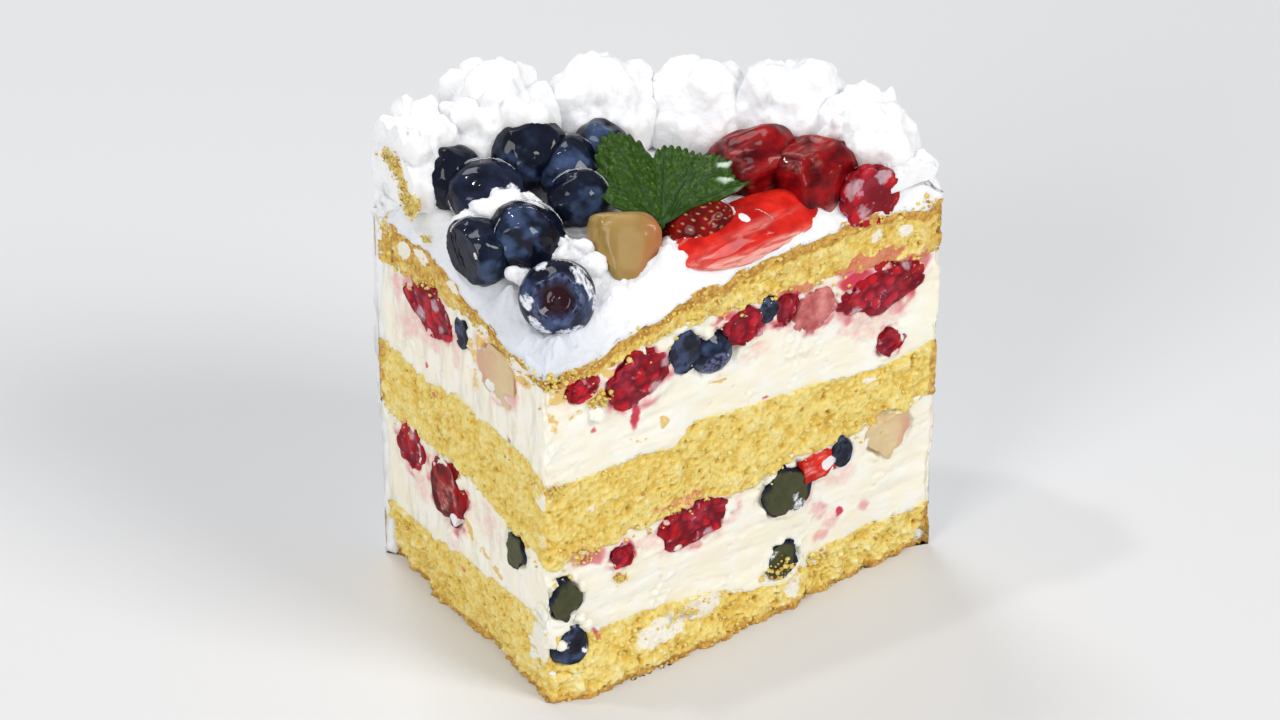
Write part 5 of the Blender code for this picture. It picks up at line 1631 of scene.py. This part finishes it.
def make_leaf(material):
    """The leaf with its veins, puckered between them, and its stem. Masks: vein, rise, which gets
    painted highlights, and a patch of jelly, which gets a painted sheen.
    """
    columns, rows = LEAF_GRID
    turn, share = np.meshgrid(
        np.linspace(*LEAF_TURNS, columns), np.linspace(0.01, 1, rows), indexing="ij"
    )
    done = (turn - LEAF_TURNS[0]) / (LEAF_TURNS[1] - LEAF_TURNS[0])
    tooth = np.abs(np.sin(np.pi * LEAF_TEETH * done))
    reach = profile(LEAF_OUTLINE, turn) * share * (1 - 0.05 * (1 - tooth) * share**5)
    which = np.abs(turn[..., None] - np.array(LEAF_VEINS)).argmin(-1)
    off = np.radians(turn - np.array(LEAF_VEINS)[which])
    along, side = reach * np.cos(off), np.abs(reach * np.sin(off))
    main = np.exp(-((side / (0.20 + 0.015 * (20 - along))) ** 2))
    phase = (along - 1.3 * side) / 2.1 + 0.5 * which
    branch = np.abs(phase - np.round(phase)) * 2.1
    branch = np.exp(-((branch / 0.22) ** 2)) * smooth(side, 0.1, 0.6)
    vein = np.maximum(main, 0.7 * branch)
    across, rise = np.array(LEAF_ACROSS), np.array(LEAF_RISE)
    up = np.cross(across, rise)
    angle = np.radians(turn)
    out = rise * np.sin(angle)[..., None] - across * np.cos(angle)[..., None]
    flat = np.stack([reach * np.cos(angle), reach * np.sin(angle), 0 * reach], -1)
    fold = np.exp(-(((turn - LEAF_FOLD) / 13) ** 2))
    lift = LEAF_WAVE * share * np.sin(np.radians(turn * 6)) - LEAF_DROOP * share**2
    lift += 1.9 * smooth(turn, 100, 145) * smooth(reach, 1, 6) - 1.3 * fold * share
    lift += 1.2 * (1 - smooth(turn, 24, 50)) * share
    domes = 0.55 - cells(flat, 1.25, 145)[0]
    pucker = (0.20 + 0.72 * domes) * (1 - vein) * smooth(reach, 0, 3) + 0.10 * wave(flat, 0.8, 141)
    # A patch of jelly, whose pale colour is a painted sheen.
    wet = blob(-flat[..., 0], flat[..., 1], ((13.0, 11.0, 4.6, 4.4, 1.0),))
    wet *= smooth(wave(flat * (0.3, 1.5, 1), 1.1, 147), 0.15, 0.5)
    base = np.array(LEAF_BASE) - LEAF_FOOT_DROP[0] * rise + LEAF_FOOT_DROP[1] * across
    sheets = []
    for side_lift, share_of in ((-LEAF_THICKNESS / 2, 0.6), (LEAF_THICKNESS / 2, 1.0)):
        rise_by = (lift + side_lift + share_of * pucker - 0.2)[..., None]
        sheets.append(base + out * reach[..., None] + up * rise_by)
    low, high = sheets
    grid = np.concatenate([high, low[:, ::-1]], axis=1)
    masks = channels(vein, smooth(pucker, 0, 0.45), wet, 0)
    masks = np.concatenate([masks, masks[:, ::-1]], axis=1).reshape(-1, 4)
    width = 2 * rows
    faces = ring_faces(columns, width)[:, ::-1]
    caps = [
        cap_faces(0, width, rows, forward=True),
        cap_faces((columns - 1) * width, width, rows, forward=False),
    ]
    leaf = (grid.reshape(-1, 3), [faces, *caps], masks)
    stem = tube((STEM_FOOT, base), STEM_RADIUS, STEM_SIDES)
    points, faces, masks = join_parts([leaf, stem])
    make_piece("mint_leaf", points, faces, material, ("leaf",), masks)


def tube(route, radius, sides):
    """A closed tube along a route: points, faces and empty masks."""
    route = np.array(route, float)
    turn = 2 * np.pi * np.arange(sides) / sides
    rings = []
    for k, place in enumerate(route):
        way = Vector(route[min(k + 1, len(route) - 1)] - route[max(k - 1, 0)])
        frame_of = np.array(way.to_track_quat("Z", "Y").to_matrix())
        circle = np.stack([np.cos(turn), np.sin(turn), 0 * turn], -1) * radius
        rings.append(place + circle @ frame_of.T)
    points = np.concatenate([*rings, route[:1], route[-1:]])
    count = len(route) * sides
    first = np.arange(sides)
    faces = [
        ring_faces(len(route), sides),
        fan_faces(first, count, upward=False),
        fan_faces(first + count - sides, count + 1, upward=True),
    ]
    return points, faces, np.zeros((len(points), 4))


def leaf_material():
    """Green with paler veins, painted highlights on the puckers and a painted sheen where jelly lies.
    Masks: vein, rise, jelly.
    """
    paint = Paint("leaf", roughness=0.24, Specular_IOR_Level=0.2, **soft(0.1, 0.8, (0.4, 1, 0.2)))
    vein, rise, wet, _ = paint.masks
    colour = paint.mix(paint.noise(4.0, 3), (0.010, 0.040, 0.001), (0.032, 0.088, 0.001))
    # Painted highlights: brighter yellow-green on the puckers.
    bright = paint.times(rise, paint.between(paint.noise(0.7, 4), 0.46, 0.66))
    colour = paint.tint(colour, (0.12, 0.23, 0.008), bright, 0.6)
    colour = paint.tint(colour, (0.012, 0.042, 0.003), vein, 0.6)
    # Painted sheen: a pale patch where jelly lies on the leaf.
    colour = paint.mix(wet, colour, (0.62, 0.72, 0.60))
    return paint.finish(colour, paint.bump(paint.noise(0.8, 3), 0.4, 0.9))


# ---- jelly and painted highlights ----

# Edges of the jelly that coats the fruit, as (fruit, first and last turn round it in degrees, seen from
# the near corner, share of its radius, thickness). They are whitish, so they also show as painted
# highlight lines.
JELLY_EDGES = (
    ("blueberry_2", 20, 160, 1.00, 0.34), ("blueberry_2", 70, 175, 0.74, 0.20),
    ("blueberry_3", 60, 230, 1.02, 0.34), ("blueberry_4", 40, 170, 1.00, 0.36),
    ("blueberry_4", 190, 235, 0.9, 0.26), ("blueberry_7", 50, 165, 1.02, 0.34),
    ("blueberry_8", 10, 150, 1.04, 0.36), ("blueberry_6", 110, 170, 0.80, 0.20),
    ("blueberry_5", 100, 150, 0.95, 0.24), ("strawberry_3", 190, 320, 0.96, 0.40),
    ("strawberry_2", 20, 80, 0.85, 0.22), ("strawberry_4", 200, 290, 0.95, 0.26),
    ("blueberry_1", 30, 100, 0.92, 0.22), ("raspberry_top", 110, 250, 1.0, 0.36),
    ("strawberry_1", 20, 100, 1.0, 0.26),
)
JELLY_RISE = 0.99  # of the fruit's radii, where its edges lie
JELLY_STEPS = 26
JELLY_SIDES = 8


def jelly_and_highlight_material():
    # Whitish and only partly clear: jelly that also shows as painted highlight lines.
    paint = Paint("jelly", roughness=0.08, Transmission_Weight=0.75, IOR=1.36)
    return paint.finish(paint.mix(paint.noise(2.0, 2), (0.90, 0.92, 0.95), (0.98, 0.98, 1.0)))


def make_jelly_and_highlights(material):
    """Ridges where the jelly over the fruit ends, whitish so that they also show as painted highlights.
    """
    fruit = {name: placing for name, _, *placing in TOP_FRUIT}
    draw = random.Random(77)
    parts = []
    for name, first, last, share, thick in JELLY_EDGES:
        centre, radii, degrees = fruit[name]
        turned = turned_by(degrees)
        turn = np.radians(np.linspace(first, last, JELLY_STEPS))
        wobble = 1 + np.array([draw.uniform(-0.012, 0.012) for _ in range(JELLY_STEPS)])
        out = np.minimum(share * wobble, 0.98)[:, None]
        ways = out * (np.cos(turn)[:, None] * VIEW_RIGHT + np.sin(turn)[:, None] * VIEW_UP)
        ways = ways + np.sqrt(1 - out**2) * VIEW_BACK
        local = ways @ turned / radii
        local = local / np.linalg.norm(local, axis=-1, keepdims=True)
        route = centre + (local * radii * JELLY_RISE) @ turned.T
        taper = np.sin(np.linspace(0.15, math.pi - 0.15, JELLY_STEPS)) ** 0.6
        points, faces, masks = tube(route, 1.0, JELLY_SIDES)
        wall = JELLY_STEPS * JELLY_SIDES
        around = points[:wall].reshape(JELLY_STEPS, JELLY_SIDES, 3)
        taper = taper * (0.5 + 0.35 * np.array([draw.uniform(-1, 1) for _ in range(JELLY_STEPS)]))
        thin = route[:, None] + (around - route[:, None]) * (thick * taper)[:, None, None]
        points[:wall] = thin.reshape(-1, 3)
        parts.append((points, faces, masks))
    points, faces, masks = join_parts(parts)
    make_piece("jelly_edges_and_highlights", points, faces, material, (), masks)


# ---- crumbs ----


CRUMB_BALL = (2, 6)
LONG_FACE_CRUMBS = 0.62  # share of the loose crumbs on the long cut
CREAM_CRUMBS = 0.12  # share of them that fell on the cream below their sponge
BROWN_CRUMBS = 0.08
CRUMBS_FROM, LONG_CRUMBS_TO, SHORT_CRUMBS_TO = 1.5, 84.0, 54.0


def crumb_mesh(count, seed, place):
    """Small rough crumbs at places that place() draws: points, faces and masks."""
    draw = random.Random(seed)
    ways, faces = ball(*CRUMB_BALL)
    parts = []
    for _ in range(count):
        middle, size, masks = place(draw)
        rough = np.array([draw.uniform(0.6, 1.25) for _ in ways])[:, None]
        turned = np.array(Euler([draw.uniform(0, 6) for _ in range(3)]).to_matrix())
        shape = (ways * rough) @ turned.T * size * (1, 1, draw.uniform(0.6, 1.0))
        parts.append((middle + shape, faces, np.tile(masks, (len(ways), 1))))
    return join_parts(parts)


def crumb_on_face(draw):
    """A crumb on a cut: mostly on the sponges, some on the cream below them."""
    long_face = draw.random() < LONG_FACE_CRUMBS
    s = draw.uniform(CRUMBS_FROM, LONG_CRUMBS_TO if long_face else SHORT_CRUMBS_TO)
    under, over = draw.choice((
        ("floor", "sponge_bottom_top"), ("sponge_middle_base", "sponge_middle_top"),
        ("sponge_top_base", "sponge_top_top"),
    ))
    x, y = (s, 0.0) if long_face else (0.0, s)
    low, high = (float(level_height(level, np.array(x), np.array(y))) for level in (under, over))
    z = draw.uniform(low - (0.6 if low > 1 else 0), high + 0.3)
    if draw.random() < CREAM_CRUMBS and low > 1:
        z = low - abs(draw.gauss(0, 2.2))
    point = np.array([[x, y, z]])
    stand = float(face_offset(point, long_face)[0]) - FACE_INSET + draw.uniform(-0.1, 0.35)
    middle = np.array((x, -stand, z)) if long_face else np.array((-stand, y, z))
    size = min(0.16 + abs(draw.gauss(0, 0.18)), 0.75)
    brown = 0.9 if draw.random() < BROWN_CRUMBS else 0.0
    return middle, size, (0.0, brown, 0.0, draw.uniform(0.3, 0.6))


def make_crumbs(name, count, seed, place, material):
    points, faces, masks = crumb_mesh(count, seed, place)
    make_piece(name, points, faces, material, (), masks)


# Loose dabs of cream as (x, y, z, radius): among the berries, round the fruit and down the corner.
WHITE_DABS = (
    (9.6, 29.4, 87.6, 4.1), (5.6, 30.4, 86.4, 3.0), (14.4, 27.6, 88.0, 2.3), (1.9, 52.2, 81.6, 2.6),
    (1.9, 50.6, 84.6, 2.4), (4.6, 53.4, 82.6, 2.8), (8.0, 54.0, 84.0, 2.4), (2.6, 54.4, 79.2, 2.8),
    (5.8, 55.4, 81.0, 2.6), (44.5, 7.7, 86.8, 1.1), (6.4, 17.0, 82.0, 1.6), (15.4, 15.6, 83.4, 2.8),
    (18.0, 12.2, 82.2, 2.4), (17.2, 15.0, 84.8, 1.8), (13.0, 17.8, 83.4, 1.6),
    (36.2, 6.0, 84.0, 1.4), (79.0, 4.2, 85.2, 2.8), (82.6, 3.4, 84.0, 2.4), (75.4, 4.6, 86.4, 2.2),
)
IVORY_DABS = (
    (1.1, 2.4, 19.4, 1.6), (1.3, 3.4, 16.8, 1.9), (1.3, 4.6, 14.0, 1.9), (1.2, 4.8, 11.2, 1.8),
    (1.3, 4.4, 8.6, 1.8), (1.1, 3.4, 6.6, 1.5), (1.6, 0.6, 5.8, 1.2), (1.0, 1.6, 14.4, 1.5),
    (8.4, -0.2, 14.6, 1.2), (7.2, 0.2, 16.4, 1.1), (2.6, -0.6, 12.6, 0.9), (12.0, 0.9, 60.0, 1.8),
    (7.6, -0.9, 6.6, 0.9),
)


DAB_BALL = (19, 27)
DAB_ROUGH_RADIUS = 2.2  # larger dabs are no rougher than one of this radius


def make_dabs(name, places, stretch, seed, material):
    """Rough lumps of cream in one piece, drawn out across the view by a share of their size."""
    ways, faces = ball(*DAB_BALL)
    parts = []
    for *middle, radius in places:
        points = np.array(middle) + ways * radius
        points = points + stretch * ((points - middle) @ VIEW_RIGHT)[:, None] * VIEW_RIGHT
        rough = 0.8 * fractal(points, 2.6, seed, 3) + 0.2 * ridged(points, 1.0, seed + 5) - 0.1
        points = points + ways * (rough * min(radius, DAB_ROUGH_RADIUS) * 0.5)[:, None]
        torn = 0.15 + 0.3 * fractal(points * (0, 1, 1), 1.1, seed + 7)
        points[:, 0] = np.maximum(points[:, 0], torn)
        points = points - held_in(points)
        parts.append((points, faces, np.zeros((len(ways), 4))))
    points, faces, masks = join_parts(parts)
    make_piece(name, points, faces, material, (), masks)


# Heaps of crumb as (x, y, z, spread, count): on the short cut of the border and at the corners.
CRUMB_HEAPS = (
    (-0.1, 49.0, 91.4, 2.2, 90), (-0.1, 46.4, 89.2, 1.4, 40), (-0.1, 43.4, 85.4, 2.4, 130),
    (-0.1, 45.2, 87.2, 1.2, 26), (0.2, 52.6, 75.4, 1.5, 36), (0.2, 38.5, 80.2, 0.9, 18),
    (1.0, 0.0, 70.6, 1.6, 30), (4.0, -0.1, 70.2, 1.8, 30), (11.9, -0.1, 62.9, 1.7, 40),
    (2.0, -0.3, 47.2, 1.6, 30), (0.0, 3.0, 47.6, 1.6, 24), (8.0, -0.1, 30.2, 1.8, 26),
    (15.8, -0.2, 21.6, 1.2, 16), (52.0, -0.5, 8.6, 2.6, 40), (60.0, -0.2, 8.4, 2.0, 26),
    (30.0, -2.0, 9.6, 3.0, 30), (84.4, 0.1, 78.0, 1.4, 26), (20.0, -3.0, 1.0, 6.0, 30),
)


def crumb_in_heap(draw):
    heap = draw.choices(CRUMB_HEAPS, [heap[-1] for heap in CRUMB_HEAPS])[0]
    *middle, spread, _ = heap
    middle = [part + draw.gauss(0, spread * share) for part, share in zip(middle, (0.75, 0.75, 0.5))]
    side = 1 if heap[0] >= heap[1] else 0
    middle[side] = heap[side] + draw.gauss(0, 0.12)
    size = min(0.13 + abs(draw.gauss(0, 0.24)), 0.8)
    crust = 0.8 if draw.random() < 0.15 else 0.0
    return np.array(middle), size, (0.0, crust, 0.0, draw.uniform(0.3, 0.6))


# ---- scene ----

CAMERA_PLACE = (-0.40368, -0.58641, 0.52416)
CAMERA_TILT = 56.0
CAMERA_TURN = -34.3136
CAMERA_LENS = 129.375
SENSOR = 36.0
AIM = Vector((0.0, 0.0, 0.05))
# Lamps: place, size across, power and colour.
LAMPS = (
    ((0.55, -1.05, 1.05), 0.55, 13.0, (1.0, 0.985, 0.96)),
    ((-1.15, -0.45, 0.75), 0.6, 8.0, (1.0, 0.985, 0.965)),
    ((0.10, 1.00, 1.30), 0.6, 7.6, (0.98, 0.99, 1.0)),
    ((-0.42, 0.30, 1.25), 0.07, 2.2, (1.0, 1.0, 1.0)),
)
WORLD_COLOUR = (0.90, 0.93, 1.0)
WORLD_STRENGTH = 0.34
FLOOR_SIDE = 6.0


def make_camera():
    lens = bpy.data.cameras.new("camera")
    lens.lens = CAMERA_LENS
    lens.sensor_width = SENSOR
    camera = add_object("camera", lens)
    camera.location = CAMERA_PLACE
    camera.rotation_euler = (math.radians(CAMERA_TILT), 0, math.radians(CAMERA_TURN))
    bpy.context.scene.camera = camera


def make_lights():
    for place, size, power, colour in LAMPS:
        lamp = bpy.data.lights.new("lamp", "AREA")
        lamp.size, lamp.energy, lamp.color = size, power, colour
        holder = add_object("lamp", lamp)
        holder.location = place
        holder.rotation_euler = (AIM - Vector(place)).to_track_quat("-Z", "Y").to_euler()
    world = bpy.data.worlds.new("world")
    world.use_nodes = True
    sky = world.node_tree.nodes["Background"]
    sky.inputs["Color"].default_value = (*WORLD_COLOUR, 1)
    sky.inputs["Strength"].default_value = WORLD_STRENGTH
    bpy.context.scene.world = world


def make_floor():
    half = FLOOR_SIDE / 2
    mesh = bpy.data.meshes.new("floor")
    corners = [(-half, -half, 0), (half, -half, 0), (half, half, 0), (-half, half, 0)]
    mesh.from_pydata(corners, [], [(0, 1, 2, 3)])
    paint = Paint("floor", roughness=0.6)
    colour = paint.mix(paint.noise(400.0, 2), (0.70, 0.70, 0.70), (0.73, 0.73, 0.73))
    mesh.materials.append(paint.finish(colour))
    add_object("floor", mesh)


LAYERS = (
    ("sponge_bottom", "floor", "sponge_bottom_top", "sponge"),
    ("cream_lower", "sponge_bottom_top", "sponge_middle_base", "filling"),
    ("sponge_middle", "sponge_middle_base", "sponge_middle_top", "sponge"),
    ("cream_upper", "sponge_middle_top", "sponge_top_base", "filling"),
    ("sponge_top", "sponge_top_base", "sponge_top_top", "sponge"),
)


def main():
    sponge, filling, whipped = sponge_material(), filling_material(), whipped_material()
    for name, under, over, kind in LAYERS:
        make_layer(name, under, over, kind, sponge if kind == "sponge" else filling)
    make_top_cream(whipped)
    make_coat(whipped)
    make_rosettes(whipped)
    fruit = fruit_materials()
    make_top_fruit(fruit)
    make_face_fruit(fruit)
    make_leaf(leaf_material())
    make_jelly_and_highlights(jelly_and_highlight_material())
    make_crumbs("loose_crumbs", 1500, 5, crumb_on_face, sponge)
    make_crumbs("crumb_heaps", 720, 8, crumb_in_heap, sponge)
    make_dabs("white_dabs", WHITE_DABS, 0.45, 151, whipped)
    make_dabs("ivory_dabs", IVORY_DABS, 0.0, 161, filling)
    make_camera()
    make_lights()
    make_floor()
    bpy.context.scene.view_settings.view_transform = "Standard"
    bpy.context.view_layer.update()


main()
